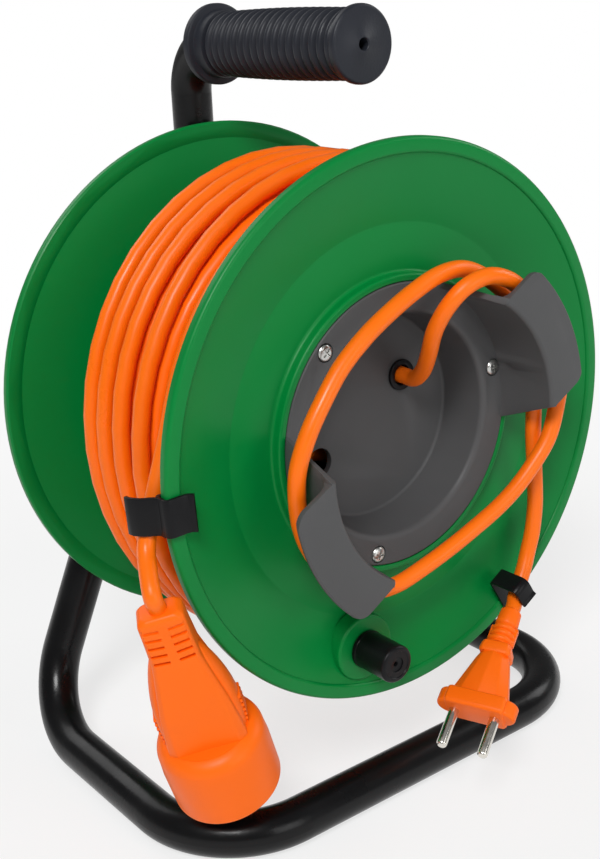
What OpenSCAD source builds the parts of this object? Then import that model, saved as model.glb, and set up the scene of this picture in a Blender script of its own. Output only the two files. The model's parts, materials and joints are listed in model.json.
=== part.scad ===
// Hand-held extension cord reel: a tubular stand with a ribbed grip, a two-flange
// drum wound with cord, a hub insert with a cup and two cord wings, and a crank knob.
// Millimetres. +Z is up, the front looks along -Y, and the origin is on the floor.

/* [Reel] */
// Radius of both flanges
flange_r = 125; // [118:1:128]
// Overall width of the reel over both flange rims
reel_w = 140; // [130:1:146]
// Radial width of the rim lip
rim_w = 7; // [5:0.5:10]
// Axial depth of the rim lip
rim_t = 5; // [4:0.5:6]
// Wall of the flange web
web_t = 2.5; // [2:0.1:3.2]
// How far the flat part of the web lies inside the rim face
web_dish = 10; // [8:0.5:12]
// Outer radius of the winding drum
drum_r = 85; // [83:0.5:87]
// Wall of the winding drum
drum_wall = 3; // [2:0.5:4]
// Outer radius of the raised hub ring on each flange
hub_ring_r = 67.5; // [67:0.5:69]
// Height of the hub ring above the flat web
hub_ring_h = 5; // [4:0.5:6]

/* [Hub insert] */
// Outer radius of the hub insert
insert_r = 64; // [62:0.5:64.5]
// Thickness of the insert's ring and walls
insert_t = 3; // [2.4:0.1:3.4]
// Radius of the cup mouth
cup_r = 50; // [46:0.5:50.5]
// Depth of the cup below the ring face
cup_depth = 23; // [18:0.5:26]
// Draft of the cup wall over its depth
cup_draft = 2.6; // [1:0.2:4]
// Radius of the hole that the lead comes out of
lead_hole_r = 4.6; // [4.2:0.1:5.4]
// Radius of the second hole in the cup floor
spare_hole_r = 7; // [5:0.5:8]

/* [Cord wings] */
// Height of the wing lips above the ring face
wing_h = 31; // [27:0.5:33]
// Wall of the wings
wing_t = 2.5; // [2:0.1:3]
// Outer radius of the wing lips
lip_r = 84; // [78:0.5:88]
// Half angle of a wing at its lip
lip_span = 28.5; // [24:0.5:32]
// Half angle of a wing at its foot
foot_span = 40; // [36:0.5:44]
// Corner radius of the lips
lip_corner = 8; // [4:0.5:10]
// Direction of the first wing seen from the front, anticlockwise from the right
wing_dir = 30; // [20:1:40]

/* [Crank knob] */
// Distance of the knob from the axle
knob_reach = 101; // [98:0.5:103]
// Direction of the knob seen from the front
knob_dir = 254; // [250:1:258]
// Radius of the knob
knob_r = 8.8; // [8:0.1:10]
// Length of the knob
knob_l = 21; // [18:0.5:26]
// Radius of the pin that the knob turns on
knob_pin_r = 4; // [3:0.1:4.5]

/* [Axle] */
// Height of the axle above the floor
axle_h = 176; // [174:1:184]
// Radius of the axle
axle_r = 10; // [8:0.5:11]
// Running clearance between a shaft and its bore
run_gap = 0.05; // [0.02:0.01:0.1]
// Wall of the bearing bushes
bush_wall = 2.5; // [2:0.1:3]
// Length of a bearing bush
bush_l = 16; // [12:1:20]
// Wall of the hub tube
hub_wall = 3; // [2.4:0.1:4]

/* [Stand] */
// Outer radius of the frame tube
tube_r = 10; // [9:0.5:10.5]
// Wall of the frame tube
tube_wall = 1.5; // [1:0.1:2]
// Distance of the base's side runs from the middle
base_half_w = 116.5; // [114:0.5:120]
// Distance of the base's front run from the middle of the reel
base_front = 71; // [69:0.5:74]
// Bend radius of the base's front corners
base_bend = 46; // [40:1:50]
// Bend radius where a side run turns up into its leg
leg_bend = 40; // [34:1:44]
// Lean of the legs towards the middle
leg_lean = 24; // [23:0.5:26]
// Radius of the plate that carries the axle
plate_r = 58; // [55:0.5:62]
// Thickness of the axle plate
plate_t = 4; // [3:0.5:4.5]

/* [Handle] */
// Height of the handle above the axle
handle_rise = 161; // [160:1:170]
// Length of the grip
grip_l = 108; // [100:1:110]
// Front end of the grip, ahead of the middle of the reel
grip_front = 46; // [40:1:48]
// Radius of the grip's ribs
grip_r = 14.8; // [14:0.1:16]
// Radius of the grip's front end
grip_front_r = 16.2; // [15.5:0.1:18]
// Radius of the grip's rear guard
grip_guard_r = 18.5; // [17:0.1:20]
// Distance from rib to rib
rib_pitch = 5; // [4.5:0.1:6]
// Bend radius of the handle tube
handle_bend = 23; // [22:1:24]

/* [Cord] */
// Diameter of the cord
cord_d = 7.5; // [7:0.1:7.6]
// Turns in the close-wound layer
close_turns = 7; // [6:1:7]
// Loose turns on top of it
loose_turns = 4; // [3:1:4]
// How far the cord is piled towards the rear, from the middle of the reel
pile_rear = 10; // [8:1:14]
// Sideways sway of the rear turns as they go round
turn_sway = 4.5; // [0:0.5:5]

/* [Plug and socket] */
// Radius of a plug pin
pin_r = 2.4; // [2:0.1:2.4]
// Length of a plug pin
pin_l = 19; // [17:0.5:20]
// Distance between the two pins
pin_pitch = 19; // [18:0.5:20]
// Width of the plug over its lobes
plug_w = 37; // [35:0.5:40]
// Length of the plug body
plug_l = 37; // [35:0.5:40]
// Length of the plug's ribbed strain relief
plug_relief_l = 20; // [18:0.5:22]
// Outer radius of the socket's skirt
skirt_r = 24; // [23:0.5:24.5]
// Length of the socket's skirt
skirt_l = 34; // [30:1:36]
// Length of the socket from its neck to its mouth
socket_l = 104; // [98:1:106]
// Depth of the recess in the socket's mouth
socket_recess = 13; // [8:1:16]

/* [Hidden] */
$fn = 96;

// Gap between pieces that are seated on each other
seat = 0.3;
// Overshoot of a cut past the face it opens
cut = 1;

green = [0.0, 0.45, 0.2];
orange = [1.0, 0.38, 0.02];
dark_grey = [0.27, 0.27, 0.28];
black = [0.05, 0.05, 0.055];
rubber_black = [0.16, 0.17, 0.2];
zinc = [0.75, 0.75, 0.74];
nylon = [0.85, 0.85, 0.82];
brass = [0.75, 0.6, 0.3];

// Heights along the axle, counted forward from the middle of the reel
rim_face = reel_w / 2;
web_face = rim_face - web_dish;
web_back = web_face - web_t;
ring_face = web_face + hub_ring_h;
rim_inner_r = flange_r - rim_w;
rim_step = 1.4;
cone_foot_r = drum_r + 0.6;

// The insert sits in a pocket of the hub ring
insert_face = ring_face + seat;
insert_back = insert_face - insert_t;
pocket_floor = insert_back - 0.1;
pocket_r = insert_r + seat;
cup_floor = insert_face - cup_depth;
cup_floor_r = cup_r - cup_draft;
hub_opening_r = cup_r + insert_t + 1;
screw_r = (pocket_r + hub_opening_r) / 2 - 0.4;
screw_dirs = [15, 135, 255];
screw_shank_r = 1.7;
screw_head_r = 3.75;
screw_head_h = 2.2;
screw_l = 16;
post_r = 4.6;

// Bearing of the drum
bush_bore = axle_r + run_gap;
bush_r = bush_bore + bush_wall;
hub_bore = bush_r + 0.02;
hub_r = hub_bore + hub_wall;
hub_rear = ring_face + 1;
hub_front = 0;
bush_flange_t = 1.5;
partition_t = 3;

// The handle tube passes behind the rear flange
grip_rear = grip_l - grip_front;
riser_y = grip_rear + handle_bend;
plate_rear = riser_y - tube_r - seat;
plate_front = plate_rear - plate_t;
riser_foot = 20;
bore_r = tube_r - tube_wall;

// The reel's middle is set so that the object's box is centred on the origin
front_reach = insert_face + wing_h;
rear_reach = riser_y + tube_r;
mid_y = (front_reach - rear_reach) / 2;

// Axle details, in y from the middle of the reel
axle_spigot_r = axle_r - 3;
axle_collar_r = hub_r - 1.5;
axle_front = hub_front - bush_flange_t - 5.5;
washer_t = 2;
nut_h = 8;
nut_r = 12;

// Cord
cord_r = cord_d / 2;
cord_gap = 0.35;
deep_layers = 2;
wound_core_r = drum_r + seat + deep_layers * 0.95 * cord_d;
wound_steps = 24;
close_r = (wound_core_r + cord_gap + cord_r) / cos(180 / wound_steps);
loose_r = close_r + cord_d + 0.6;
wound_half = web_back - seat;
close_front = web_back - 2.5;
loose_end = 42;
climb_turns = 0.5;
sway_dir = 110;
front_sway = 0.2;
wound_end_dir = 98;
leave_dir = 158;
total_turns = close_turns + climb_turns + loose_turns;
first_dir = wound_end_dir - 360 * total_turns;

// Clips: strips of spring plastic that grip the rim
clip_t = 1.6;
clip_w = 15;
socket_clip_dir = 185;
plug_clip_dir = 305;

// The plug lead's route, from the collar round both wings to the plug,
// in x, y and z from the middle of the reel
lead_route = [
    [20, -45, 15], [20, -52, 15], [18, -60, 21], [14, -68, 31], [11, -75, 43],
    [13, -81, 54], [20, -85, 62], [31, -87, 65], [42, -88, 62], [52, -88, 55],
    [61, -88, 46], [68, -88, 36], [74, -87, 24], [78, -87, 10], [77, -86, -5],
    [72, -86, -18], [63, -85, -29], [53, -84, -38], [42, -83, -45], [29, -82, -51],
    [14, -81, -57], [-1, -80, -62], [-17, -79, -66], [-32, -79, -64], [-48, -79, -55],
    [-60, -79, -42], [-68, -80, -28], [-72, -82, -13], [-72, -83, 2], [-67, -84, 16],
    [-59, -84, 28], [-48, -83, 40], [-34, -82, 50], [-19, -80, 57], [-3, -78, 63],
    [13, -76, 67], [28, -75, 67], [42, -75, 61], [54, -75, 52], [63, -75, 41],
    [70, -75, 27], [73, -75, 12], [73, -76, -3], [73, -76, -18], [73, -77, -34],
    [74, -77, -50], [73.5, -77, -60], [72, -77, -69], [69.5, -77, -77], [66, -78, -84],
    [62, -79, -90], [57, -81, -95]
];
// Where the plug's strain relief begins, and how the plug is turned
plug_top = [50, -85, -100];
plug_turn = [120, 2, -65];

// The socket end: from the winding through its clip to the socket's neck
socket_top = [-133.5, -71, -41.5];
socket_turn = [-164, -13, -33];
socket_route = [
    [-108.5, -53.5, 33], [-114, -55, 19], [-119, -56, 7], [-123.2, -56.5, -4],
    [-127, -57.5, -14], [-130.5, -60.5, -23]
];

// The inner end of the cord: from the drum wall behind the cup to the collar
inner_route = [
    [-83, -20, 14.4], [-76, -20, 12], [-66, -21, 4], [-55, -23, -4], [-43, -26, -11], [-30, -27, -14],
    [-16, -24, -19], [0, -20, -24], [16, -17, -20], [26, -18, -8], [28, -23, 4],
    [25, -30, 11], [21, -37, 15]
];

// ---- Helpers ----

// Places things that are given from the middle of the reel
module at_reel() translate([0, mid_y, axle_h]) children();

// Turns a shape whose height runs forward along the axle: x right, y up, z forward
module on_axle() at_reel() rotate([90, 0, 0]) children();

// Places a child at a reach and direction on the front view
module at_dir(reach, dir) rotate(dir) translate([reach, 0, 0]) children();

// Points of an arc, for outlines
function arc(cx, cy, r, from, to, n) =
    [for (i = [0 : n]) let (a = from + (to - from) * i / n) [cx + r * cos(a), cy + r * sin(a)]];

function unit(v) = v / norm(v);

// Where the Z axis points after a turn
function facing(t) = [
    cos(t.z) * sin(t.y) * cos(t.x) + sin(t.z) * sin(t.x),
    sin(t.z) * sin(t.y) * cos(t.x) - cos(t.z) * sin(t.x),
    cos(t.y) * cos(t.x)
];

// Direction of a route at one of its points
function heading(p, i) = unit(p[min(i + 1, len(p) - 1)] - p[max(i - 1, 0)]);

// A direction across the route that stays close to the one before it
function across(h, before) = unit(before - h * (before * h));

// A round tube along a route, closed at both ends
module sweep(p, r, sides, first_across, heads = []) {
    hs = len(heads) > 0 ? heads : [for (i = [0 : len(p) - 1]) heading(p, i)];
    ss = [for (i = 0, s = across(hs[0], first_across);
        i < len(p);
        i = i + 1, s = i < len(p) ? across(hs[i], s) : s) s];
    rings = [for (i = [0 : len(p) - 1])
        let (t = cross(hs[i], ss[i]))
        for (k = [0 : sides - 1])
        let (a = 360 * k / sides)
        p[i] + r * (cos(a) * ss[i] + sin(a) * t)];
    last = (len(p) - 1) * sides;
    skin = [for (i = [0 : len(p) - 2])
        for (k = [0 : sides - 1])
        let (a = i * sides + k, b = i * sides + (k + 1) % sides)
        each [[a, a + sides, b], [b, a + sides, b + sides]]];
    caps = [
        [for (k = [0 : sides - 1]) k],
        [for (k = [sides - 1 : -1 : 0]) last + k]
    ];
    polyhedron(points = rings, faces = concat(skin, caps), convexity = 10);
}

// A straight tube along +Z
module pipe(l) {
    difference() {
        cylinder(r = tube_r, h = l);
        translate([0, 0, -cut]) cylinder(r = bore_r, h = l + 2 * cut);
    }
}

// A bent tube about the origin: it starts on +X and turns towards +Y
module bend(reach, angle) rotate_extrude(angle = angle) translate([reach, 0]) difference() {
    circle(r = tube_r);
    circle(r = bore_r);
}

// ---- Stand ----

side_run_rear = riser_y + mid_y - leg_bend;
front_run_y = mid_y - base_front;

// The loop that lies on the floor: two side runs, two corners and the front run
module base_tube() color(black) translate([0, 0, tube_r]) {
    translate([-base_half_w + base_bend, front_run_y, 0]) rotate([0, 90, 0])
        pipe(2 * (base_half_w - base_bend));
    for (side = [-1, 1]) {
        translate([side * (base_half_w - base_bend), front_run_y + base_bend, 0])
            rotate(side < 0 ? 180 : 270) bend(base_bend, 90);
        translate([side * base_half_w, front_run_y + base_bend, 0]) rotate([-90, 0, 0])
            pipe(side_run_rear - front_run_y - base_bend);
    }
}

// One leg: it turns up from its side run and leans in to the riser
module leg(side) {
    foot_x = base_half_w - leg_bend * sin(leg_lean);
    leg_l = foot_x / sin(leg_lean);
    mirror([side > 0 ? 1 : 0, 0, 0]) difference() {
        translate([-base_half_w, side_run_rear, tube_r]) rotate([0, leg_lean, 0]) {
            translate([0, 0, leg_bend]) rotate([0, 90, 0]) bend(leg_bend, 90);
            translate([0, leg_bend, leg_bend]) pipe(leg_l);
        }
        translate([-tube_r - seat, 0, axle_h - 2 * plate_r]) cube([8 * tube_r, 2 * axle_h, 4 * plate_r]);
    }
}

module left_leg() color(black) leg(-1);
module right_leg() color(black) leg(1);

// The handle tube: out of the grip, down behind the rear flange to the axle plate
module riser_tube() color(black) at_reel() {
    inside = grip_l - 6;
    drop = handle_rise - handle_bend - riser_foot;
    translate([0, grip_rear, handle_rise - handle_bend]) rotate([0, -90, 0]) {
        translate([handle_bend, -inside, 0]) rotate([-90, 0, 0]) pipe(inside);
        bend(handle_bend, 90);
    }
    translate([0, riser_y, riser_foot]) pipe(drop);
}

// The soft grip: a front end with a small hole, a row of ribs and a stepped rear guard
module handle_grip() color(rubber_black) at_reel() translate([0, -grip_front, handle_rise])
    rotate([-90, 0, 0]) {
        front_t = 5;
        guard_t = 4.5;
        step_t = 5;
        ribs_from = front_t + rib_pitch / 2;
        ribs_to = grip_l - guard_t - step_t;
        rib_count = floor((ribs_to - ribs_from) / rib_pitch);
        core_r = grip_r - 2.2;
        rotate_extrude() difference() {
            union() {
                square([core_r, grip_l]);
                translate([0, 1.5]) square([grip_front_r, front_t - 2.5]);
                square([grip_front_r - 1.5, front_t]);
                translate([grip_front_r - 1.5, 1.5]) circle(r = 1.5, $fn = 32);
                translate([grip_front_r - 1.5, front_t - 1.5]) circle(r = 1.5, $fn = 32);
                for (i = [0 : rib_count])
                    let (z = ribs_from + i * (ribs_to - ribs_from) / rib_count,
                        barrel = 0.7 * sin(180 * i / rib_count))
                    translate([core_r - 1.6 + barrel, z])
                    polygon([[-3, -2.3], [2.6, -2], [3.6, -1], [3.8, 0.4], [2.4, 1.9], [-3, 2.1]]);
                translate([0, grip_l - guard_t - step_t]) square([core_r + 2.6, step_t]);
                translate([0, grip_l - guard_t]) square([grip_guard_r - 1, guard_t]);
                translate([0, grip_l - guard_t + 1]) square([grip_guard_r, guard_t - 2]);
                translate([grip_guard_r - 1, grip_l - guard_t + 1]) circle(r = 1, $fn = 32);
                translate([grip_guard_r - 1, grip_l - 1]) circle(r = 1, $fn = 32);
            }
            translate([0, 6]) square([tube_r + run_gap, grip_l]);
            translate([0, -cut]) square([2.5, grip_l]);
            translate([-grip_l, -cut]) square([grip_l, 3 * grip_l]);
        }
    }

// The plate that is welded across the legs and carries the axle
module axle_plate() color(black) at_reel() translate([0, plate_rear, 0]) rotate([90, 0, 0]) {
    difference() {
        cylinder(r = plate_r, h = plate_t);
        translate([0, 0, -cut]) cylinder(r = axle_spigot_r + run_gap, h = plate_t + 2 * cut);
        for (side = [-1, 1]) translate([side * plate_r * 0.8, -plate_r * 0.8, -cut])
            cylinder(r = plate_r * 0.33, h = plate_t + 2 * cut);
    }
}

// The turned axle: journal, collar against the plate, and a threaded spigot behind
module axle() color(zinc) at_reel() rotate([-90, 0, 0]) rotate_extrude() {
    groove = hub_front - bush_flange_t - seat - washer_t - 0.1;
    difference() {
        union() {
            translate([0, axle_front]) square([axle_r, plate_front - axle_front]);
            translate([0, hub_rear + bush_flange_t + seat])
                square([axle_collar_r, plate_front - hub_rear - bush_flange_t - seat]);
            translate([0, axle_front]) square([axle_spigot_r, plate_rear + washer_t + nut_h + 2 - axle_front]);
        }
        translate([axle_r - 1.2, groove - 1.3]) square([5, 1.3]);
        translate([axle_r, axle_front]) rotate(45) square(1.2, center = true);
    }
}

module axle_washer() color(zinc) at_reel() translate([0, plate_rear, 0]) rotate([-90, 0, 0])
    difference() {
        cylinder(r = nut_r + 2, h = washer_t);
        translate([0, 0, -cut]) cylinder(r = axle_spigot_r + run_gap, h = washer_t + 2 * cut);
    }

module axle_nut() color(zinc) at_reel() translate([0, plate_rear + washer_t, 0]) rotate([-90, 0, 0])
    difference() {
        intersection() {
            cylinder(r = nut_r, h = nut_h, $fn = 6);
            cylinder(r1 = nut_r + 5, r2 = nut_r - 0.8, h = nut_h);
        }
        translate([0, 0, -cut]) cylinder(r = axle_spigot_r + run_gap, h = nut_h + 2 * cut);
    }

// The washer and spring ring that hold the drum on its axle
module axle_retainer() color(zinc) at_reel() rotate([90, 0, 0]) {
    washer_back = -(hub_front - bush_flange_t - seat);
    translate([0, 0, washer_back]) difference() {
        cylinder(r = hub_r - 1.5, h = washer_t);
        translate([0, 0, -cut]) cylinder(r = axle_r + run_gap, h = washer_t + 2 * cut);
    }
    translate([0, 0, washer_back + washer_t + 0.1]) difference() {
        cylinder(r = axle_r + 3, h = 1.2);
        translate([0, 0, -cut]) cylinder(r = axle_r - 1.15, h = 1.2 + 2 * cut);
        translate([0, -hub_r, 0]) cube([6, 2 * hub_r, 8], center = true);
    }
}

// ---- Reel ----

// Half section of a flange from the drum's foot out to the rim
module flange_section() {
    rim_back = rim_face - rim_t;
    rim_web = rim_face - rim_step;
    round_r = 1.8;
    polygon(concat(
        [[cone_foot_r - 3, web_back], [cone_foot_r, web_back],
        [rim_inner_r - 1, rim_web - web_t], [rim_inner_r + 1, rim_back],
        [flange_r - 0.8, rim_back], [flange_r, rim_back + 0.8]],
        arc(flange_r - round_r, rim_face - round_r, round_r, 0, 90, 6),
        arc(rim_inner_r + round_r, rim_face - round_r, round_r, 90, 170, 6),
        [[rim_inner_r - 0.5, rim_web], [cone_foot_r, web_face], [cone_foot_r - 3, web_face]]
    ));
}

// The flat web and the raised ring, from an inner radius out to the drum's foot
module web_section(inner_r) {
    polygon(concat(
        [[inner_r, web_back], [cone_foot_r - 2, web_back], [cone_foot_r - 2, web_face],
        [hub_ring_r + 1.5, web_face]],
        arc(hub_ring_r + 1.5, web_face + 1.5, 1.5, 270, 180, 5),
        arc(hub_ring_r - 1.2, ring_face - 1.2, 1.2, 0, 90, 5),
        [[pocket_r, ring_face], [pocket_r, web_face], [inner_r, web_face]]
    ));
}

// The spigot that centres the drum on a flange
module spigot_section() {
    translate([drum_r - drum_wall - seat - 2.5, web_back - 6]) square([2.5, 6 + web_t / 2]);
}

knob_boss_r = 15.5;
knob_boss_face = rim_face - 0.5;
knob_pin_foot = web_face + 3.5;

module front_flange() color(green) on_axle() difference() {
    union() {
        rotate_extrude() {
            flange_section();
            web_section(hub_opening_r);
            spigot_section();
            translate([hub_opening_r, web_back]) square([pocket_r - hub_opening_r + 1, pocket_floor - web_back]);
        }
        difference() {
            at_dir(knob_reach, knob_dir) translate([0, 0, web_back])
                cylinder(r = knob_boss_r, h = knob_boss_face - web_back);
            rotate_extrude() polygon([[0, 0], [cone_foot_r, 0], [cone_foot_r, web_back],
                [rim_inner_r - 1, rim_face - rim_step - web_t], [flange_r, web_back], [flange_r, 0]]);
        }
    }
    for (dir = screw_dirs) at_dir(screw_r, dir) translate([0, 0, web_back - cut])
        cylinder(r = screw_shank_r + 0.4, h = 2 * web_dish, $fn = 32);
    at_dir(knob_reach, knob_dir) translate([0, 0, knob_pin_foot])
        cylinder(r = knob_pin_r + 0.02, h = 3 * web_dish);
}

module rear_flange() color(green) at_reel() rotate([-90, 0, 0]) difference() {
    union() {
        rotate_extrude() {
            flange_section();
            web_section(hub_r - 1);
            spigot_section();
            translate([hub_bore, hub_front]) square([hub_wall, hub_rear - hub_front]);
            translate([hub_bore, web_back]) square([2 * hub_wall, ring_face - web_back - 1]);
        }
        for (i = [0 : 5]) rotate(15 + 60 * i) translate([hub_r, -1, web_face - 0.5])
            cube([pocket_r - hub_r + 0.5, 2, hub_ring_h - 1]);
    }
    for (dir = screw_dirs) rotate(-dir) translate([screw_r, 0, web_back - cut])
        cylinder(r = screw_shank_r + 0.4, h = 2 * web_dish, $fn = 32);
}

// The drum that the cord is wound on, with a hole for the cord's inner end
module drum_shell() color(green) on_axle() difference() {
    rotate_extrude() translate([drum_r - drum_wall, -web_back + seat])
        square([drum_wall, 2 * (web_back - seat)]);
    translate([0, 0, -inner_route[0][1]]) rotate([0, 0, 170]) rotate([0, 90, 0])
        cylinder(r = cord_r + 0.6, h = drum_r + cut, $fn = 48);
}

// The partition inside the drum, with the three posts that both flanges are screwed to
module drum_partition() color(green) on_axle() difference() {
    union() {
        rotate_extrude() translate([hub_r + seat, -hub_front - partition_t])
            square([drum_r - drum_wall - hub_r - 2 * seat, partition_t]);
        for (dir = screw_dirs) at_dir(screw_r, dir) translate([0, 0, -web_back + seat])
            cylinder(r = post_r, h = 2 * (web_back - seat));
    }
    for (dir = screw_dirs) at_dir(screw_r, dir) {
        translate([0, 0, web_back - screw_l]) cylinder(r = screw_shank_r + 0.05, h = screw_l + cut, $fn = 32);
        translate([0, 0, -web_back - cut]) cylinder(r = screw_shank_r + 0.05, h = screw_l + cut, $fn = 32);
    }
}

// A flanged bush, its flange outside the hub tube
module bush() rotate_extrude() {
    translate([bush_bore, 0]) square([bush_wall, bush_l]);
    translate([bush_bore, -bush_flange_t]) square([hub_r - bush_bore, bush_flange_t]);
}

module front_bush() color(nylon) at_reel() translate([0, hub_front, 0]) rotate([-90, 0, 0]) bush();
module rear_bush() color(nylon) at_reel() translate([0, hub_rear, 0]) rotate([90, 0, 0]) bush();

// ---- Hub insert ----

lip_top = insert_face + wing_h;
wing_in = pocket_r - 1.8;
wing_out = wing_in + wing_t;
wing_fillet = 5;

// Half section of a wing: wall, round bend and lip
module wing_section() {
    lip_under = lip_top - wing_t;
    polygon(concat(
        [[wing_in, insert_face - 0.5], [insert_r, insert_face - 0.5], [insert_r, insert_face]],
        [[wing_out, insert_face + 0.5]],
        arc(wing_out + wing_fillet, lip_under - wing_fillet, wing_fillet, 180, 90, 8),
        [[lip_r - 0.8, lip_under], [lip_r, lip_under + 0.8], [lip_r, lip_top - 0.8], [lip_r - 0.8, lip_top]],
        arc(wing_in + 2, lip_top - 2, 2, 90, 180, 5)
    ));
}

// Front outline that rounds a lip's outer corners
module lip_outline() {
    edge_in = lip_span;
    reach = lip_r + cut;
    edge_out = lip_span - 7;
    corner_mid = lip_r - lip_corner;
    polygon(concat(
        [[0, 0]],
        [[(wing_out + 0.5) * cos(60), -(wing_out + 0.5) * sin(60)]],
        arc(0, 0, wing_out + 0.5, -60, -edge_in, 6),
        [for (p = arc(corner_mid * cos(edge_out - 3.5), -corner_mid * sin(edge_out - 3.5),
            lip_corner, -edge_out - 62, -edge_out + 8, 8)) p],
        arc(0, 0, reach - cut, -edge_out + 6, edge_out - 6, 16),
        [for (p = arc(corner_mid * cos(edge_out - 3.5), corner_mid * sin(edge_out - 3.5),
            lip_corner, edge_out - 8, edge_out + 62, 8)) p],
        arc(0, 0, wing_out + 0.5, edge_in, 60, 6)
    ));
}

// One wing about direction 0: its sides lean in from the foot to the lip
module wing() {
    lean = atan(wing_in * (foot_span - lip_span) * PI / 180 / (wing_h + insert_t));
    difference() {
        intersection() {
            rotate(-foot_span - 5) rotate_extrude(angle = 2 * foot_span + 10) wing_section();
            translate([0, 0, insert_back]) linear_extrude(height = wing_h + 2 * insert_t) lip_outline();
        }
        for (side = [-1, 1]) rotate(side * foot_span) translate([0, 0, insert_back])
            rotate([side * lean, 0, 0]) translate([-lip_r, side > 0 ? 0 : -2 * lip_r, -lip_r])
            cube([3 * lip_r, 2 * lip_r, 4 * lip_r]);
    }
}

// Section of the insert's ring and cup, with a soft mouth
module cup_section() {
    soft = 3;
    polygon(concat(
        [[0, cup_floor - insert_t], [cup_floor_r + 1, cup_floor - insert_t],
        [cup_floor_r + insert_t, cup_floor - insert_t + 2]],
        [[cup_r + insert_t, insert_back], [insert_r, insert_back], [insert_r, insert_face - 0.6],
        [insert_r - 0.6, insert_face]],
        arc(cup_r + soft, insert_face - soft, soft, 90, 174, 6),
        arc(cup_floor_r - 1.5, cup_floor + 1.5, 1.5, 0, -90, 4),
        [[0, cup_floor]]
    ));
}

lead_hole = [20, 15];
spare_hole = [-29, -16];

module hub_insert() color(dark_grey) on_axle() difference() {
    union() {
        rotate_extrude() cup_section();
        for (turn = [0, 180]) rotate(wing_dir + turn) wing();
    }
    translate([lead_hole[0], lead_hole[1], 0]) cylinder(r = lead_hole_r + 1.7, h = rim_face);
    translate([spare_hole[0], spare_hole[1], 0]) cylinder(r = spare_hole_r, h = rim_face);
    for (dir = screw_dirs) at_dir(screw_r, dir) {
        translate([0, 0, web_back]) cylinder(r = screw_shank_r + 0.4, h = 2 * web_dish, $fn = 32);
        translate([0, 0, insert_face - 1.2]) cylinder(r = screw_head_r + 0.4, h = web_dish, $fn = 48);
    }
}

// A pan-head screw with a cross slot, its head's seat at the origin
module pan_screw() difference() {
    union() {
        translate([0, 0, -screw_l + 1]) cylinder(r = screw_shank_r, h = screw_l - 1, $fn = 32);
        intersection() {
            cylinder(r = screw_head_r, h = screw_head_h, $fn = 48);
            translate([0, 0, screw_head_h - 6]) sphere(r = 6, $fn = 64);
        }
    }
    for (turn = [0, 90]) rotate(turn) translate([-2, -0.5, screw_head_h - 1.1]) cube([4, 1, 2]);
}

module insert_screws() color(zinc) on_axle() for (dir = screw_dirs)
    at_dir(screw_r, dir) translate([0, 0, insert_face - 1.2]) pan_screw();

module rear_screws() color(zinc) at_reel() rotate([-90, 0, 0]) for (dir = screw_dirs)
    rotate(-dir) translate([screw_r, 0, web_face]) pan_screw();

// The collar that lines the lead's hole
module lead_collar() color(black) on_axle() translate([lead_hole[0], lead_hole[1], cup_floor])
    rotate_extrude() difference() {
        union() {
            translate([0, -insert_t - 1]) square([lead_hole_r + 1.65, insert_t + 1.5]);
            translate([0, 0.05]) square([lead_hole_r + 2.6, 1.6]);
        }
        translate([-2 * lead_hole_r, -2 * insert_t]) square([3 * lead_hole_r, 6 * insert_t]);
    }

// ---- Crank knob ----

knob_back = knob_boss_face + seat;
knob_head_r = knob_pin_r + 1.2;
knob_head_z = knob_back + knob_l * 0.62;

module knob_pin() color(zinc) on_axle() at_dir(knob_reach, knob_dir) rotate_extrude() {
    pin_top = knob_head_z + seat;
    translate([0, knob_pin_foot + 0.1]) square([knob_pin_r, pin_top - knob_pin_foot - 0.1]);
    polygon([[0, pin_top], [knob_head_r, pin_top], [knob_head_r, pin_top + 1.5],
        [knob_pin_r - 1, pin_top + 4], [0, pin_top + 4]]);
}

module crank_knob() color(black) on_axle() at_dir(knob_reach, knob_dir)
    translate([0, 0, knob_back]) rotate_extrude() difference() {
        polygon(concat(
            [[0, 0], [knob_r - 0.6, 0], [knob_r, 0.6]],
            arc(knob_r - 1.6, knob_l - 1.6, 1.6, 0, 90, 6),
            [[0, knob_l]]
        ));
        translate([-cut, -cut]) square([knob_pin_r + run_gap + cut, knob_l]);
        head_room = knob_head_z - knob_back;
        translate([-cut, head_room]) square([knob_head_r + seat + cut, 4 + 2 * seat]);
        translate([-cut, head_room]) square([1.2 + cut, knob_l]);
        translate([-knob_l, -cut]) square([knob_l, 3 * knob_l]);
    }

// ---- Clips ----

// A strip that follows a line of points, as thick as the clip
module strip(p) {
    hs = [for (i = [0 : len(p) - 1]) heading(p, i)];
    left = [for (i = [0 : len(p) - 1]) p[i] + clip_t / 2 * [-hs[i][1], hs[i][0]]];
    right = [for (i = [len(p) - 1 : -1 : 0]) p[i] - clip_t / 2 * [-hs[i][1], hs[i][0]]];
    polygon(concat(left, right));
}

clip_mid = clip_t / 2;
clip_out_r = flange_r + seat + clip_mid;
clip_front = rim_face + seat + clip_mid;
clip_back = rim_face - rim_t - seat - clip_mid;

// Middle line of the socket's clip in reach and height: over the rim's front face,
// round its edge, in along its back, and out again under the cord
function socket_line() =
    let (in_r = rim_inner_r - seat, low = rim_face - 18.8, bend = 2)
    concat(
        [[rim_inner_r - 3, clip_front + 1.5], [rim_inner_r, clip_front]],
        arc(clip_out_r - bend, clip_front - bend, bend, 90, 0, 4),
        arc(clip_out_r - 1, clip_back + 1, 1, 0, -90, 3),
        arc(in_r + bend, clip_back - bend, bend, 90, 180, 4),
        arc(in_r + bend, low + bend, bend, 180, 270, 4),
        [[clip_out_r - 3, low], [clip_out_r, low + 0.5]]
    );

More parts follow.
